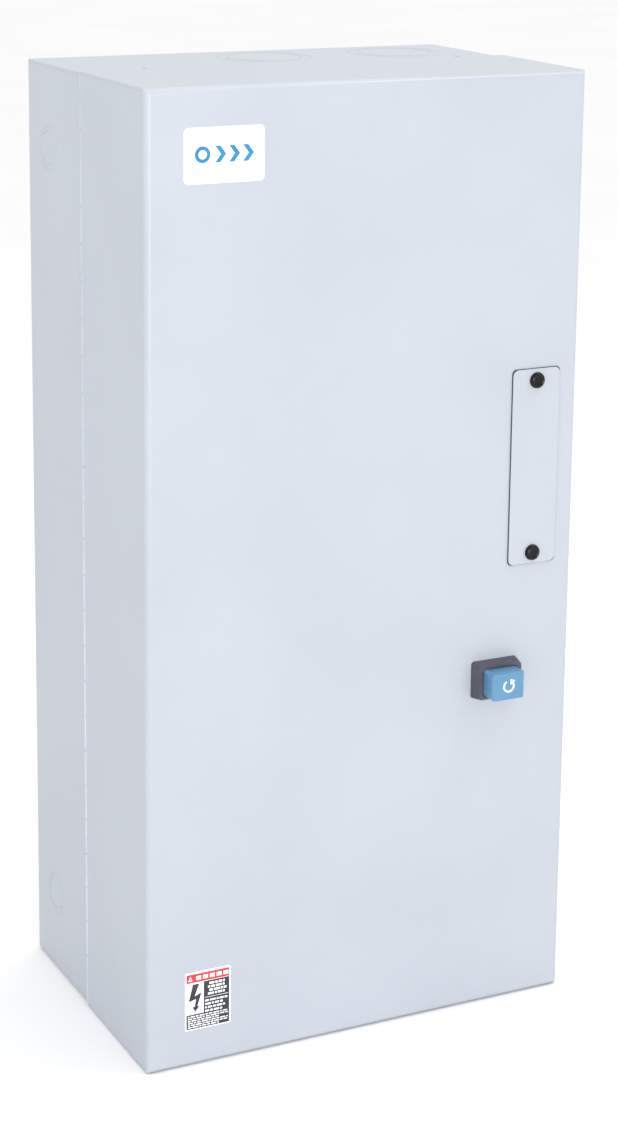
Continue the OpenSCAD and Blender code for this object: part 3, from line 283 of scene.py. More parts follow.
def plane_off(bm, pivot, lean, radius):
    """Cuts away what stands further than the radius from a pivot in one direction, and closes the cut."""
    cut = bmesh.ops.bisect_plane(bm, geom=bm.verts[:] + bm.edges[:] + bm.faces[:], dist=0.0005 * MM,
                                 plane_co=pivot + lean * radius, plane_no=lean, clear_outer=True)
    bmesh.ops.edgenet_fill(bm, edges=[e for e in cut["geom_cut"] if isinstance(e, bmesh.types.BMEdge)])


def merged(node):
    """A closed copy of a CAD node's mesh."""
    bm = bmesh.new()
    bm.from_mesh(frame["nodes"][node].data)
    bmesh.ops.remove_doubles(bm, verts=bm.verts, dist=WELD)
    bmesh.ops.dissolve_limit(bm, angle_limit=math.radians(0.4), verts=bm.verts, edges=bm.edges)
    return bm


def body_of_node(node):
    """The body that a CAD node belongs to."""
    return next(b for b, nodes in frame["record"]["behaviour"]["bodies"].items() if node in nodes)


def finished_copy(node, finish_name, edge=0.0):
    """A piece of a CAD node's own shape, with softened edges."""
    bm = merged(node)
    if edge:
        soften(bm, edge)
    return show(node + "_shown", bm, body_of_node(node), finish_name, [node])


def box_into(bm, low, high):
    """Adds a box between two corners and returns its vertices."""
    size = Vector(high) - Vector(low)
    place = Matrix.Translation((Vector(low) + Vector(high)) / 2) @ Matrix.Diagonal(size).to_4x4()
    return bmesh.ops.create_cube(bm, size=1, matrix=place)["verts"]


def outline_into(bm, points, y, thick):
    """Adds a flat shape drawn in X and Z, from y towards the front by its thickness."""
    face = bm.faces.new([bm.verts.new((x, y, z)) for x, z in points])
    grown = bmesh.ops.extrude_face_region(bm, geom=[face])["geom"]
    bmesh.ops.translate(bm, verts=[v for v in grown if isinstance(v, bmesh.types.BMVert)], vec=(0, -thick, 0))


def bars_into(bm, x, z, rows, pitch, width, height, y, thick, lengths):
    """Adds rows of bars that stand for lines of print. x and z are the top left corner."""
    for i in range(rows):
        length = width * lengths[i % len(lengths)]
        top = z - i * pitch
        box_into(bm, (x, y - thick, top - height), (x + length, y, top))


def close(bm):
    """Turns every face of a closed mesh outwards."""
    bmesh.ops.recalc_face_normals(bm, faces=bm.faces)
    return bm


def spring_into(bm, centre, radius, wire, y_back, y_front, turns):
    """Adds a coil of round wire about a line along Y."""
    x, z = centre
    wire_sides, steps_per_turn = 8, 20
    start = Matrix.Translation((x + radius, y_back - wire / 2, z))
    ring = bmesh.ops.create_circle(bm, segments=wire_sides, radius=wire / 2, matrix=start)["verts"]
    edges = list({e for v in ring for e in v.link_edges})
    steps = int(turns * steps_per_turn)
    rise = (y_front - y_back + wire) / steps
    made = bmesh.ops.spin(bm, geom=ring + edges, cent=(x, y_back, z), axis=(0, -1, 0), dvec=(0, rise, 0),
                          angle=math.tau * turns, steps=steps)
    last = [e for e in made["geom_last"] if isinstance(e, bmesh.types.BMEdge)]
    bmesh.ops.holes_fill(bm, edges=edges + last, sides=wire_sides)


def joined(name, maker, nodes, finish_name):
    """A piece made by a function, in place of CAD nodes of one body."""
    bm = bmesh.new()
    maker(bm)
    return show(name, close(bm), body_of_node(nodes[0]), finish_name, nodes)


# ---- Settings ----


class StarterLook(bpy.types.PropertyGroup):
    """Sizes of the outside that a user may change."""

    sheet_edge: FloatProperty(name="Sheet edge", description="Rounding of the cut edges of the sheet",
                              default=0.15 * MM, min=0.0, unit="LENGTH")
    caulk_depth: FloatProperty(name="Corner groove", description="Depth left open over the filled slits",
                               default=0.15 * MM, min=0.0, unit="LENGTH")
    bead_width: FloatProperty(name="Bead width", description="Width of the paint bead over a knockout's ring",
                              default=1.2 * MM, min=0.0, unit="LENGTH")
    bead_lift: FloatProperty(name="Bead height", description="How far the bead stands off the sheet",
                             default=0.25 * MM, min=0.0, unit="LENGTH")
    plate_edge: FloatProperty(name="Plate edge", description="Rounding of the cover plate's edges",
                              default=0.4 * MM, min=0.0, unit="LENGTH")
    # the dark gasket under the plate is painted shadow as well as rubber: its edge shows as the shade line in
    # the gap behind the plate
    gasket: FloatProperty(name="Gasket", description="Thickness of the gasket behind the cover plate",
                          default=0.7 * MM, min=0.0, unit="LENGTH")
    # the gasket's rim beyond the plate is painted shadow: a thin dark line where the plate's shade falls on
    # the cover
    painted_shadow_rim: FloatProperty(name="Gasket rim", description="How far the gasket shows beyond the plate",
                              default=0.25 * MM, unit="LENGTH")
    bezel_corner: FloatProperty(name="Bezel corner", description="Rounding of the bezel's outer corners",
                                default=2.4 * MM, min=0.0, unit="LENGTH")
    bezel_edge: FloatProperty(name="Bezel edge", description="Rounding of the bezel's other edges",
                              default=0.3 * MM, min=0.0, unit="LENGTH")
    button_corner: FloatProperty(name="Button corner", description="Rounding of the face's upright edges",
                                 default=2.8 * MM, min=0.0, unit="LENGTH")
    button_edge: FloatProperty(name="Button edge", description="Rounding of the button's other edges",
                               default=0.6 * MM, min=0.0, unit="LENGTH")
    print_lift: FloatProperty(name="Print thickness", description="Thickness of the ink on the labels",
                              default=0.05 * MM, min=0.0, unit="LENGTH")
    symbol_size: FloatProperty(name="Reset symbol", description="Width of the turning arrow on the button",
                               default=8.4 * MM, min=0.0, unit="LENGTH")


class StageLook(bpy.types.PropertyGroup):
    """Camera, lights and floor."""

    camera_place: FloatVectorProperty(name="Camera", description="Place of the camera",
                                      default=(-0.7004, -1.5385, 0.4701),
                                      subtype="TRANSLATION", unit="LENGTH")
    camera_turn: FloatVectorProperty(name="Camera turn", description="Rotation of the camera",
                                     default=[math.radians(a) for a in (78.03, -0.60, -26.09)],
                                     subtype="EULER", unit="ROTATION")
    lens: FloatProperty(name="Lens", description="Focal length in mm", default=80.15, unit="CAMERA")
    rise: FloatProperty(name="Camera shift", description="Vertical shift of the picture", default=-0.2,
                        subtype="FACTOR")
    sky: FloatProperty(name="Room light", description="Strength of the even white light", default=1.0)
    key: FloatProperty(name="Key light", description="Power of the soft light in front",
                       default=31.5, unit="POWER")
    side: FloatProperty(name="Side light", description="Power of the light high on the left",
                        default=2.1, unit="POWER")
    top: FloatProperty(name="Top light", description="Power of the light above", default=1.6, unit="POWER")
    fold: FloatProperty(name="Fold light", description="Power of the small light that the top fold reflects",
                        default=5.5, unit="POWER")


# ---- Operators ----


class PieceOperator:
    """What the operators share."""

    bl_options = {"REGISTER", "UNDO"}


class STARTER_OT_enclosure(PieceOperator, bpy.types.Operator):
    """Finish the folded box, the lip frame, the hinge and the cover in baked enamel"""

    bl_idname = "starter.enclosure"
    bl_label = "Enclosure"

    def caulk(self, node, seam_y, fold_y, groove):
        """Filler in the slits where a tray's side flanges meet its top and bottom, painted over."""
        low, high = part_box(node)
        inner = SHEET + CORNER_SLIT
        bm = bmesh.new()
        for x_in, x_out, room in ((low.x + SHEET, low.x + groove, KNUCKLE_ROOM),
                                  (high.x - SHEET, high.x - groove, 0)):
            seam_end = seam_y + math.copysign(room, fold_y - seam_y)
            for z_in, z_out in ((low.z + inner, low.z + SHEET), (high.z - inner, high.z - SHEET)):
                box_into(bm, (min(x_in, x_out), min(seam_end, fold_y), min(z_in, z_out)),
                         (max(x_in, x_out), max(seam_end, fold_y), max(z_in, z_out)))
        show(node + "_corner_fill", close(bm), body_of_node(node), "baked_enamel",
             smooth=False)

    def knockout_beads(self, look):
        """Paint that bridges each sheared ring and stands a little proud, as on a slug pressed back in."""
        root, half, lift = 0.6 * MM, look.bead_width / 2, look.bead_lift
        section = ((-half / 2, -root), (half / 2, -root), (half, 0),
                   (half / 2, lift), (-half / 2, lift), (-half, 0))
        bm = bmesh.new()
        for mount in frame["record"]["mounts"]:
            if "knockout" not in mount["name"]:
                continue
            outward = Vector(mount["axis"])
            place = Matrix.Translation(mount["pos_m"]) @ outward.to_track_quat("Z", "Y").to_matrix().to_4x4()
            for radius in END_KNOCKOUTS if outward.z else SIDE_KNOCKOUTS:
                verts = [bm.verts.new(place @ Vector((radius + across, 0, up))) for across, up in section]
                bmesh.ops.spin(bm, geom=[bm.faces.new(verts)], cent=place.translation, axis=outward,
                               angle=math.tau, steps=72, use_merge=True)
        # the drawn section stays inside each ring
        sections = [f for f in bm.faces if len(f.verts) == len(section)]
        bmesh.ops.delete(bm, geom=sections, context="FACES_ONLY")
        bmesh.ops.remove_doubles(bm, verts=bm.verts, dist=WELD)
        show("knockout_beads", close(bm), "enclosure", "baked_enamel")

    def hinge_ends(self):
        """The plain ends of the hinge tube, above and below its knuckles."""
        low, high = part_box("hinge_pin")
        middle = (low + high) / 2
        below_box_top = 0.6 * MM
        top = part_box("back_box")[1].z - below_box_top
        tall = top - high.z
        tube_over_pin_head = 0.3 * MM
        radius = (high.x - low.x) / 2 + tube_over_pin_head
        bm = bmesh.new()
        for side in (-1, 1):
            bmesh.ops.create_cone(bm, cap_ends=True, segments=32, radius1=radius, radius2=radius, depth=tall,
                                  matrix=Matrix.Translation((middle.x, middle.y, side * (top - tall / 2))))
        soften(bm, 0.2 * MM)
        show("hinge_tube_ends", close(bm), "enclosure", "hinge_steel")

    def execute(self, context):
        look = context.scene.starter_look
        self.knockout_beads(look)
        self.hinge_ends()
        for node in ("back_box", "cover"):
            finished_copy(node, "baked_enamel", look.sheet_edge)
        finished_copy("lip_frame", "baked_enamel")
        for node in ("hinge_box_leaf", "hinge_cover_leaf", "hinge_pin"):
            finished_copy(node, "hinge_steel")
        box_low, box_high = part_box("back_box")
        cover_low, cover_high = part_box("cover")
        self.caulk("back_box", box_low.y, box_high.y - BEND, look.caulk_depth)
        self.caulk("cover", cover_high.y, cover_low.y + BEND, look.caulk_depth)
        return {"FINISHED"}


class STARTER_OT_cover_fittings(PieceOperator, bpy.types.Operator):
    """Finish the cover plate, its push fasteners, the bezel and the cover screws"""

    bl_idname = "starter.cover_fittings"
    bl_label = "Cover fittings"

    def plate(self, look):
        """The cover plate on its thin gasket, whose dark rubber rim is painted shadow: a fine dark line
        standing for the shade round the plate.
        """
        low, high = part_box("pilot_plate")
        seam = high.y - look.gasket
        bm = merged("pilot_plate")
        bmesh.ops.bisect_plane(bm, geom=bm.verts[:] + bm.edges[:] + bm.faces[:], dist=0.001 * MM,
                               plane_co=(0, seam, 0), plane_no=(0, 1, 0), clear_outer=True)
        bmesh.ops.holes_fill(bm, edges=[e for e in bm.edges if e.is_boundary], sides=0)
        soften(bm, look.plate_edge)
        show("cover_plate", bm, "cover", "baked_enamel", ["pilot_plate"])
        # the dark rim left beyond the plate's outline is painted shadow, a line of shade round the plate
        rim = look.painted_shadow_rim
        bm = bmesh.new()
        box_into(bm, (low.x - rim, seam, low.z - rim), (high.x + rim, high.y, high.z + rim))
        edges = [e for e in bm.edges if abs(e.verts[0].co.y - e.verts[1].co.y) > look.gasket / 2]
        corner = 3 * MM
        bmesh.ops.bevel(bm, geom=edges, offset=corner, segments=6, affect="EDGES", profile=0.5, material=-1)
        show("plate_gasket_painted_shadow", bm, "cover", "gasket_rubber_painted_shadow")

    def fasteners(self, bm):
        """Push fasteners with a raised ring round a shallow dish, turned from one profile."""
        low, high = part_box("plate_fasteners")
        plate_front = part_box("pilot_plate")[0].y
        middle = (low + high) / 2
        radius = (high.x - low.x) / 2
        height = plate_front - low.y
        # shares of the head's radius and height, from the middle of the dish to the rim
        profile = ((0, 0.86), (0.58, 0.86), (0.67, 0.95), (0.72, 1.0),
                   (0.88, 0.86), (0.96, 0.6), (1, 0.25), (1, 0))
        shank = 0.57
        for end in (low.z + radius, high.z - radius):
            points = [(r * radius, plate_front - h * height) for r, h in profile]
            points += [(shank * radius, plate_front), (shank * radius, high.y), (0, high.y)]
            verts = [bm.verts.new((middle.x + r, y, end)) for r, y in points]
            edges = [bm.edges.new(pair) for pair in zip(verts, verts[1:])]
            bmesh.ops.spin(bm, geom=verts + edges, cent=(middle.x, 0, end), axis=(0, 1, 0),
                           angle=math.tau, steps=48, use_merge=True)
        bmesh.ops.remove_doubles(bm, verts=bm.verts, dist=WELD)

    def bezel(self, look):
        """The moulded bezel, its four outer corners planed round along their draft."""
        low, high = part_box("reset_bezel")
        panel_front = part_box("cover")[0].y
        middle, half = (low + high) / 2, (high - low) / 2
        bm = merged("reset_bezel")
        front_half = max(abs(v.co.x - middle.x) for v in bm.verts if v.co.y < low.y + ON_FACE)
        draft, radius = half.x - front_half, look.bezel_corner
        for across in (-1, 1):
            for up in (-1, 1):
                pivot = Vector((middle.x + across * (half.x - radius), panel_front,
                                middle.z + up * (half.z - radius)))
                axis = Vector((-across * draft, low.y - panel_front, -up * draft)).normalized()
                for turn in PLANED:
                    lean = Vector((across * math.cos(turn), 0, up * math.sin(turn)))
                    plane_off(bm, pivot, (lean - axis * lean.dot(axis)).normalized(), radius)
        soften(bm, look.bezel_edge)
        show("bezel_frame", bm, "cover", "bezel_moulding", ["reset_bezel"])

    def execute(self, context):
        self.plate(context.scene.starter_look)
        joined("push_fasteners", self.fasteners, ["plate_fasteners"], "black_nylon")
        self.bezel(context.scene.starter_look)
        finished_copy("bezel_clip", "spring_wire")
        for node in ("cover_nuts", "cover_screw_upper", "cover_screw_lower"):
            finished_copy(node, "zinc_plate", 0.3 * MM)
        return {"FINISHED"}


class STARTER_OT_reset_button(PieceOperator, bpy.types.Operator):
    """Make the blue reset button, its turning-arrow symbol, its rod and its spring"""

    bl_idname = "starter.reset_button"
    bl_label = "Reset button"

    def button(self, look):
        """The moulded button, planed round in steps at the upright edges of its face."""
        low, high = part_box("reset_button")
        bm = merged("reset_button")
        middle = (low.x + high.x) / 2
        ends = [v.co.x for v in bm.verts if v.co.y < low.y + ON_FACE]
        half = (max(ends) - min(ends)) / 2
        radius = look.button_corner
        for side in (-1, 1):
            pivot = Vector((middle + side * (half - radius), low.y + radius, 0))
            for turn in PLANED:
                plane_off(bm, pivot, Vector((side * math.sin(turn), -math.cos(turn), 0)), radius)
        soften(bm, look.button_edge)
        show("button_cap", bm, "reset_button", "blue_abs", ["reset_button"])

    def symbol(self, look):
        """A turning arrow: one quad swept round makes the arc, and a triangle is its head."""
        low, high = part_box("reset_button")
        middle = (low + high) / 2
        outer, wide = look.symbol_size / 2, look.symbol_size * 0.14
        start, sweep = math.radians(35), math.radians(-275)
        bm = bmesh.new()
        along = Vector((math.cos(start), 0, math.sin(start)))
        centre = Vector((middle.x, low.y, middle.z))
        corners = ((outer - wide, 0), (outer, 0), (outer, look.print_lift), (outer - wide, look.print_lift))
        quad = [bm.verts.new(centre + along * r + Vector((0, -t, 0))) for r, t in corners]
        bmesh.ops.spin(bm, geom=[bm.faces.new(quad)], cent=centre, axis=(0, -1, 0), angle=sweep, steps=36)
        across, forward = Vector((along.x, along.z)), Vector((-along.z, along.x))
        root = Vector((middle.x, middle.z)) + across * (outer - wide / 2)
        head_half, head_long = 1.9 * wide, 2.6 * wide
        head = (root + across * head_half, root + forward * head_long, root - across * head_half)
        outline_into(bm, head, low.y, look.print_lift)
        show("reset_symbol", close(bm), "reset_button", "white_ink", smooth=False)

    def coil(self, bm):
        """The return spring round the reset rod."""
        low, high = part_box("reset_spring")
        middle = (low + high) / 2
        wire, turns = 1.0 * MM, 7
        radius = (high.x - low.x - wire) / 2
        spring_into(bm, (middle.x, middle.z), radius, wire, high.y, low.y, turns)

    def execute(self, context):
        look = context.scene.starter_look
        self.button(look)
        finished_copy("reset_rod", "white_moulding", 0.4 * MM)
        self.symbol(look)
        spring = joined("reset_coil_spring", self.coil, ["reset_spring"], "spring_wire")
        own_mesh(spring)
        return {"FINISHED"}


class STARTER_OT_labels(PieceOperator, bpy.types.Operator):
    """Make the label films and the plain shapes printed on them"""

    bl_idname = "starter.labels"
    bl_label = "Labels"

    def front_print(self, inks, lift):
        """A plain ring followed by three chevrons."""
        low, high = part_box("front_label")
        middle = (low + high) / 2
        tall, to_left, upwards = 10 * MM, 19 * MM, 0.6 * MM
        left, middle_z = middle.x - to_left, middle.z + upwards
        round_angles = [math.tau * i / 48 for i in range(48)]
        for ink, share, front, thick in (("blue_ink", 0.5, low.y, lift),
                                         ("white_ink", 0.27, low.y - lift, lift / 2)):
            ring = [(left + tall * (0.5 + share * math.cos(a)), middle_z + tall * share * math.sin(a))
                    for a in round_angles]
            outline_into(inks[ink], ring, front, thick)
        chevron = ((0, 0.5), (0.34, 0.5), (0.72, 0), (0.34, -0.5), (0, -0.5), (0.38, 0))
        first, step = 13, 9
        for i in range(3):
            x = left + (first + step * i) * MM
            points = [(x + across * tall, middle_z + up * tall) for across, up in chevron]
            outline_into(inks["blue_ink"], points, low.y, lift)

    def hazard_print(self, inks, lift):
        """A red band, a bolt and two dark panels, with blank blocks for words."""
        low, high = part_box("hazard_label")
        y, w, h = low.y, high.x - low.x, high.z - low.z
        front = y - lift

        def panel(ink, across, down, face, thick):
            box_into(inks[ink], (low.x + across[0] * w, face - thick, high.z - down[1] * h),
                     (low.x + across[1] * w, face, high.z - down[0] * h))

        def shape(ink, points, face, thick):
            outline_into(inks[ink], [(low.x + u * w, high.z - v * h) for u, v in points], face, thick)

        def words(start, end, down, tall, first):
            """One row of blocks of uneven length, which stand for words."""
            lengths = (0.11, 0.05, 0.08, 0.13, 0.04, 0.09, 0.06)
            gap, shortest = 0.022, 0.03
            u, i = start, first
            while u < end - shortest:
                stop = min(u + lengths[i % len(lengths)], end)
                panel("white_ink", (u, stop), (down, down + tall), front, lift / 2)
                u, i = stop + gap, i + 1

        # across and down are shares of the label's width and height from its top left corner
        panel("red_ink", (0.03, 0.97), (0.034, 0.18), y, lift)
        shape("white_ink", [(0.065, 0.148), (0.115, 0.062), (0.165, 0.148)], front, lift / 2)
        shape("red_ink", [(0.106, 0.136), (0.106, 0.096), (0.124, 0.096), (0.124, 0.136)],
              front - lift / 2, lift / 2)
        for u in (0.24, 0.39, 0.54, 0.69, 0.84):
            panel("white_ink", (u, u + 0.11), (0.074, 0.142), front, lift / 2)
        panel("black_ink", (0.41, 0.97), (0.19, 0.98), y, lift)
        panel("black_ink", (0.03, 0.41), (0.73, 0.98), y, lift)
        shape("black_ink", [(0.17, 0.21), (0.31, 0.21), (0.21, 0.42), (0.36, 0.37), (0.27, 0.60),
                            (0.32, 0.60), (0.22, 0.69), (0.16, 0.60), (0.21, 0.60), (0.24, 0.47),
                            (0.08, 0.50)], y, lift)
        for i, down in enumerate((0.22, 0.28, 0.34, 0.40)):
            words(0.53 - 0.03 * (i % 2), 0.87 + 0.02 * (i % 3), down, 0.038, i)
        panel("white_ink", (0.44, 0.95), (0.47, 0.478), front, lift / 2)
        for i, down in enumerate((0.515, 0.575, 0.635, 0.695)):
            words(0.44, 0.93 - 0.07 * (i % 2), down, 0.032, i + 2)
        for i, down in enumerate((0.755, 0.792, 0.829, 0.866, 0.903, 0.94)):
            words(0.06, 0.94 - 0.2 * (i % 3 == 2), down, 0.02, i + 4)

    def wiring_print(self, ink, lift):
        """Inside the cover: a frame, a three-line circuit and rows of print."""
        low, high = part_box("wiring_label")
        y = high.y + lift
        w, h = high.x - low.x, high.z - low.z
        half = 0.4 * MM

        def across(x0, x1, z):
            """A line along the label's width, between shares of it."""
            box_into(ink, (low.x + x0 * w, y - lift, low.z + z * h - half),
                     (low.x + x1 * w, y, low.z + z * h + half))

        def upright(x, z0, z1):
            """A line along the label's height, between shares of it."""
            box_into(ink, (low.x + x * w - half, y - lift, low.z + z0 * h),
                     (low.x + x * w + half, y, low.z + z1 * h))

        for z in (0.04, 0.42, 0.96):
            across(0.05, 0.95, z)
        for x in (0.05, 0.95):
            upright(x, 0.04, 0.96)
        for x in (0.25, 0.42, 0.59):
            for z0, z1 in ((0.46, 0.58), (0.64, 0.74), (0.80, 0.92)):
                upright(x, z0, z1)
            for z in (0.61, 0.77):
                box_into(ink, (low.x + (x - 0.03) * w, y - lift, low.z + (z - 0.015) * h),
                         (low.x + (x + 0.03) * w, y, low.z + (z - 0.005) * h))
        rows, pitch, tall = 10, 4.6 * MM, 1.3 * MM
        bars_into(ink, low.x + 0.1 * w, low.z + 0.38 * h, rows, pitch, 0.78 * w, tall, y, lift,
                  (1, 0.86, 0.93, 0.6))

    def execute(self, context):
        lift = context.scene.starter_look.print_lift
        for node in ("front_label", "hazard_label", "wiring_label"):
            finished_copy(node, "label_film")
        inks = {ink: bmesh.new() for ink in ("blue_ink", "red_ink", "black_ink", "white_ink")}
        self.front_print(inks, lift)
        self.hazard_print(inks, lift)
        self.wiring_print(inks["black_ink"], lift)
        for name, bm in inks.items():
            show("print_" + name, close(bm), "cover", name, smooth=False)
        return {"FINISHED"}


class STARTER_OT_contactor(PieceOperator, bpy.types.Operator):
    """Finish the contactor, its magnet, its contacts and its terminals"""

    bl_idname = "starter.contactor"
    bl_label = "Contactor"

    def ribs(self, middle, front):
        """Cooling ribs over the arc chambers, in two rows of seventeen."""
        half_wide, half_tall, proud, root = 0.9 * MM, 8 * MM, 1.2 * MM, 0.2 * MM
        pitch, row_height = 4.6 * MM, 19 * MM
        bm = bmesh.new()
        for row in (-1, 1):
            for i in range(-8, 9):
                x = middle.x + i * pitch
                z = middle.z + row * row_height
                box_into(bm, (x - half_wide, front - proud, z - half_tall),
                         (x + half_wide, front + root, z + half_tall))
        soften(bm, 0.3 * MM)
        show("chamber_ribs", close(bm), "enclosure", "dark_moulding")

    def rating_label(self, middle, front):
        """A small label beside the window, with rows of print."""
        left, right, half_tall = middle.x - 37 * MM, middle.x - 9 * MM, 7 * MM
        thick, root = 0.25 * MM, 0.05 * MM
        bm = bmesh.new()
        box_into(bm, (left, front - thick, middle.z - half_tall), (right, front + root, middle.z + half_tall))
        show("rating_label", close(bm), "enclosure", "label_film", smooth=False)
        bm = bmesh.new()
        margin, ink = 2 * MM, 0.05 * MM
        rows, pitch, wide, tall = 4, 2.9 * MM, right - left - 2 * margin, 1.1 * MM
        bars_into(bm, left + margin, middle.z + half_tall - margin, rows, pitch, wide, tall,
                  front - thick, ink, (0.5, 0.9, 0.7, 1))
        show("rating_print", close(bm), "enclosure", "black_ink", smooth=False)

    def execute(self, context):
        for node, look, edge in (
            ("contactor_base", "black_phenolic", 0.5), ("contactor_housing", "dark_moulding", 0.6),
            ("magnet_core", "steel_laminations", 0.2), ("coil_bobbin", "natural_nylon", 0.2),
            ("coil_winding", "coil_tape", 0.4), ("line_contacts", "copper_bar", 0.2),
            ("load_contacts", "copper_bar", 0.2), ("line_lugs", "tinned_lug", 0.5),
            ("coil_terminals", "terminal_brass", 0.15), ("aux_contact_block", "dark_moulding", 0.6),
            ("armature", "steel_laminations", 0.2), ("crossbar", "red_moulding", 0.4),
            ("moving_contacts", "copper_bar", 0.2),
        ):
            finished_copy(node, look, edge * MM)
        low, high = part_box("contactor_housing")
        middle = (low + high) / 2
        self.ribs(middle, low.y)
        self.rating_label(middle, low.y)
        return {"FINISHED"}


class STARTER_OT_relay(PieceOperator, bpy.types.Operator):
    """Finish the overload relay, its heater packs, its controls and its lugs"""

    bl_idname = "starter.relay"
    bl_label = "Overload relay"

    def dial_marks(self):
        """Eleven marks round the current dial and two beside the selector."""
        half_wide, gap, far_end, proud, root = 0.3 * MM, 0.8 * MM, 2.6 * MM, 0.06 * MM, 0.02 * MM
        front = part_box("relay_cover")[0].y
        bm = bmesh.new()
        for node, angles in (("current_dial", range(-135, 136, 27)), ("mode_selector", (0, 90))):
            low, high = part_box(node)
            middle, reach = (low + high) / 2, (high.x - low.x) / 2
            centre = Matrix.Translation((middle.x, 0, middle.z))
            for angle in angles:
                verts = box_into(bm, (-half_wide, front - proud, reach + gap),
                                 (half_wide, front + root, reach + far_end))
                turn = Matrix.Rotation(math.radians(-angle), 4, "Y")
                bmesh.ops.transform(bm, matrix=centre @ turn, verts=verts)
        show("dial_marks", close(bm), "enclosure", "white_ink", smooth=False)

    def execute(self, context):
        for node, look, edge in (
            ("relay_base", "black_phenolic", 0.5), ("relay_cover", "dark_moulding", 0.6),
            ("heater_packs", "heater_body", 0.6), ("load_straps", "copper_bar", 0.2),
            ("load_lugs", "tinned_lug", 0.5), ("relay_terminals", "terminal_brass", 0.15),
            ("relay_reset_plunger", "blue_abs", 0.5), ("test_button", "red_moulding", 0.5),
            ("mode_selector", "white_moulding", 0.4), ("current_dial", "white_moulding", 0.4),
        ):
            finished_copy(node, look, edge * MM)
        self.dial_marks()
        return {"FINISHED"}


class STARTER_OT_hardware(PieceOperator, bpy.types.Operator):
    """Finish the mounting plate, the screws and the ground lug"""

    bl_idname = "starter.hardware"
    bl_label = "Plate and screws"

    def execute(self, context):
        for node, look, edge in (
            ("mounting_plate", "zinc_plate", 0.3), ("standoffs", "zinc_plate", 0),
            ("plate_screws", "zinc_plate", 0.25), ("contactor_screws", "zinc_plate", 0.25),
            ("housing_screws", "zinc_plate", 0.25),
            ("relay_screws", "zinc_plate", 0.25), ("heater_screws", "zinc_plate", 0.25),
            ("coil_terminal_screws", "zinc_plate", 0.25), ("relay_terminal_screws", "zinc_plate", 0.25),
            ("line_lug_screws", "zinc_plate", 0.25), ("load_lug_screws", "zinc_plate", 0.25),
            ("ground_lug", "terminal_brass", 0.3), ("ground_screw", "green_lacquer", 0.25),
        ):
            finished_copy(node, look, edge * MM)
        return {"FINISHED"}


class STARTER_OT_springs_and_wires(PieceOperator, bpy.types.Operator):
    """Make the contactor's springs and the control wires"""

    bl_idname = "starter.springs_and_wires"
    bl_label = "Springs and wires"

    def returns(self, bm):
        """The two return springs, near the sides of the crossbar."""
        housing_low, housing_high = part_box("contactor_housing")
        middle_x = (housing_low.x + housing_high.x) / 2
        low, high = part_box("return_springs")
        middle_z = (low.z + high.z) / 2
        wire, radius, turns = 0.8 * MM, 2.0 * MM, 6
        reach = (high.x - low.x) / 2 - radius - wire / 2
        for side in (-1, 1):
            spring_into(bm, (middle_x + side * reach, middle_z), radius, wire, high.y, low.y, turns)

    def contacts(self, bm):
        """The three springs that press the moving contacts."""
        low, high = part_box("contact_springs")
        middle = (low + high) / 2
        pitch = ((high.x - low.x) - (high.z - low.z)) / 2
        wire, radius, turns = 0.9 * MM, 3.4 * MM, 4
        for pole in (-1, 0, 1):
            spring_into(bm, (middle.x + pole * pitch, middle.z), radius, wire, high.y, low.y, turns)

    def execute(self, context):
        finished_copy("control_wires", "red_pvc")
        spring = joined("return_coil_springs", self.returns, ["return_springs"], "spring_wire")
        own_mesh(spring)
        joined("contact_coil_springs", self.contacts, ["contact_springs"], "spring_wire")
        return {"FINISHED"}


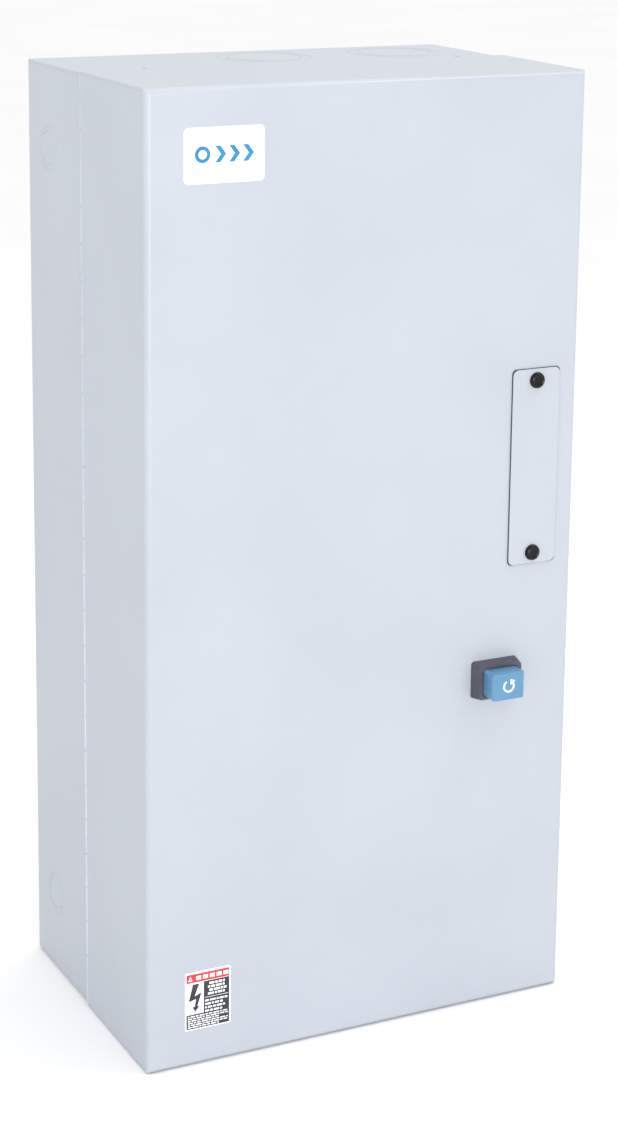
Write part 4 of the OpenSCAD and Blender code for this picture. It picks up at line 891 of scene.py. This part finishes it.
class STARTER_OT_stage(PieceOperator, bpy.types.Operator):
    """Make the floor, the lights, the room light and the camera"""

    bl_idname = "starter.stage"
    bl_label = "Stage"

    def floor(self, scene, under_part):
        """A wide white floor just below the part."""
        half_width, drop = 14.0, 0.5 * MM
        bm = bmesh.new()
        bmesh.ops.create_grid(bm, x_segments=1, y_segments=1, size=half_width,
                              matrix=Matrix.Translation((0, 0, under_part - drop)))
        mesh = bpy.data.meshes.new("studio_floor")
        bm.to_mesh(mesh)
        bm.free()
        mesh.materials.append(finish("studio_white"))
        ground = bpy.data.objects.new("studio_floor", mesh)
        scene.collection.objects.link(ground)
        ground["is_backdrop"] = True

    def room(self, scene, strength):
        """Even white light from all round."""
        world = bpy.data.worlds.new("white_room")
        scene.world = world
        world.use_nodes = True
        background = world.node_tree.nodes["Background"]
        background.inputs["Color"].default_value = (1, 1, 1, 1)
        background.inputs["Strength"].default_value = strength

    def lights(self, scene, look, centre):
        """Square lights that all face the middle of the part."""
        for name, power, size, place in (
            ("key_light", look.key, 1.2, (-0.5, -2.6, 0.15)),
            ("side_light", look.side, 0.4, (-1.05, -0.2, 0.8)),
            ("top_light", look.top, 0.5, (0.35, 0.3, 1.2)),
            ("fold_light", look.fold, 0.2, (0.7, -0.65, 1.55)),
        ):
            light = bpy.data.lights.new(name, "AREA")
            light.energy = power
            light.size = size
            lamp = bpy.data.objects.new(name, light)
            lamp.location = place
            lamp.rotation_euler = (centre - Vector(place)).to_track_quat("-Z", "Y").to_euler()
            scene.collection.objects.link(lamp)

    def camera(self, scene, look):
        """The camera, with its picture shifted down so that uprights lean less."""
        camera = bpy.data.cameras.new("camera")
        camera.sensor_width = 36
        camera.lens = look.lens
        camera.shift_y = look.rise
        camera.clip_end = 60
        seat = bpy.data.objects.new("camera", camera)
        seat.location = look.camera_place
        seat.rotation_euler = look.camera_turn
        scene.collection.objects.link(seat)
        scene.camera = seat

    def execute(self, context):
        scene = context.scene
        look = scene.starter_stage
        low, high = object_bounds()
        self.floor(scene, low.z)
        self.room(scene, look.sky)
        self.lights(scene, look, (low + high) / 2)
        self.camera(scene, look)
        scene.view_settings.view_transform = "Standard"
        return {"FINISHED"}


OPERATORS = (
    STARTER_OT_enclosure,
    STARTER_OT_cover_fittings,
    STARTER_OT_reset_button,
    STARTER_OT_labels,
    STARTER_OT_contactor,
    STARTER_OT_relay,
    STARTER_OT_hardware,
    STARTER_OT_springs_and_wires,
    STARTER_OT_stage,
)


class STARTER_PT_panel(bpy.types.Panel):
    """Lists the pieces of the starter"""

    bl_idname = "STARTER_PT_panel"
    bl_label = "Motor starter"
    bl_space_type = "VIEW_3D"
    bl_region_type = "UI"
    bl_category = "Starter"

    def draw(self, context):
        for settings in (context.scene.starter_look, context.scene.starter_stage):
            for key in settings.__annotations__:
                self.layout.prop(settings, key)
        for operator in OPERATORS:
            self.layout.operator(operator.bl_idname)


CLASSES = (StarterLook, StageLook, *OPERATORS, STARTER_PT_panel)


def register():
    for cls in CLASSES:
        bpy.utils.register_class(cls)
    bpy.types.Scene.starter_look = PointerProperty(type=StarterLook)
    bpy.types.Scene.starter_stage = PointerProperty(type=StageLook)


def unregister():
    del bpy.types.Scene.starter_stage
    del bpy.types.Scene.starter_look
    for cls in reversed(CLASSES):
        bpy.utils.unregister_class(cls)


def main():
    register()
    for operator in OPERATORS:
        group, name = operator.bl_idname.split(".")
        getattr(getattr(bpy.ops, group), name)()


if __name__ == "__main__":
    main()
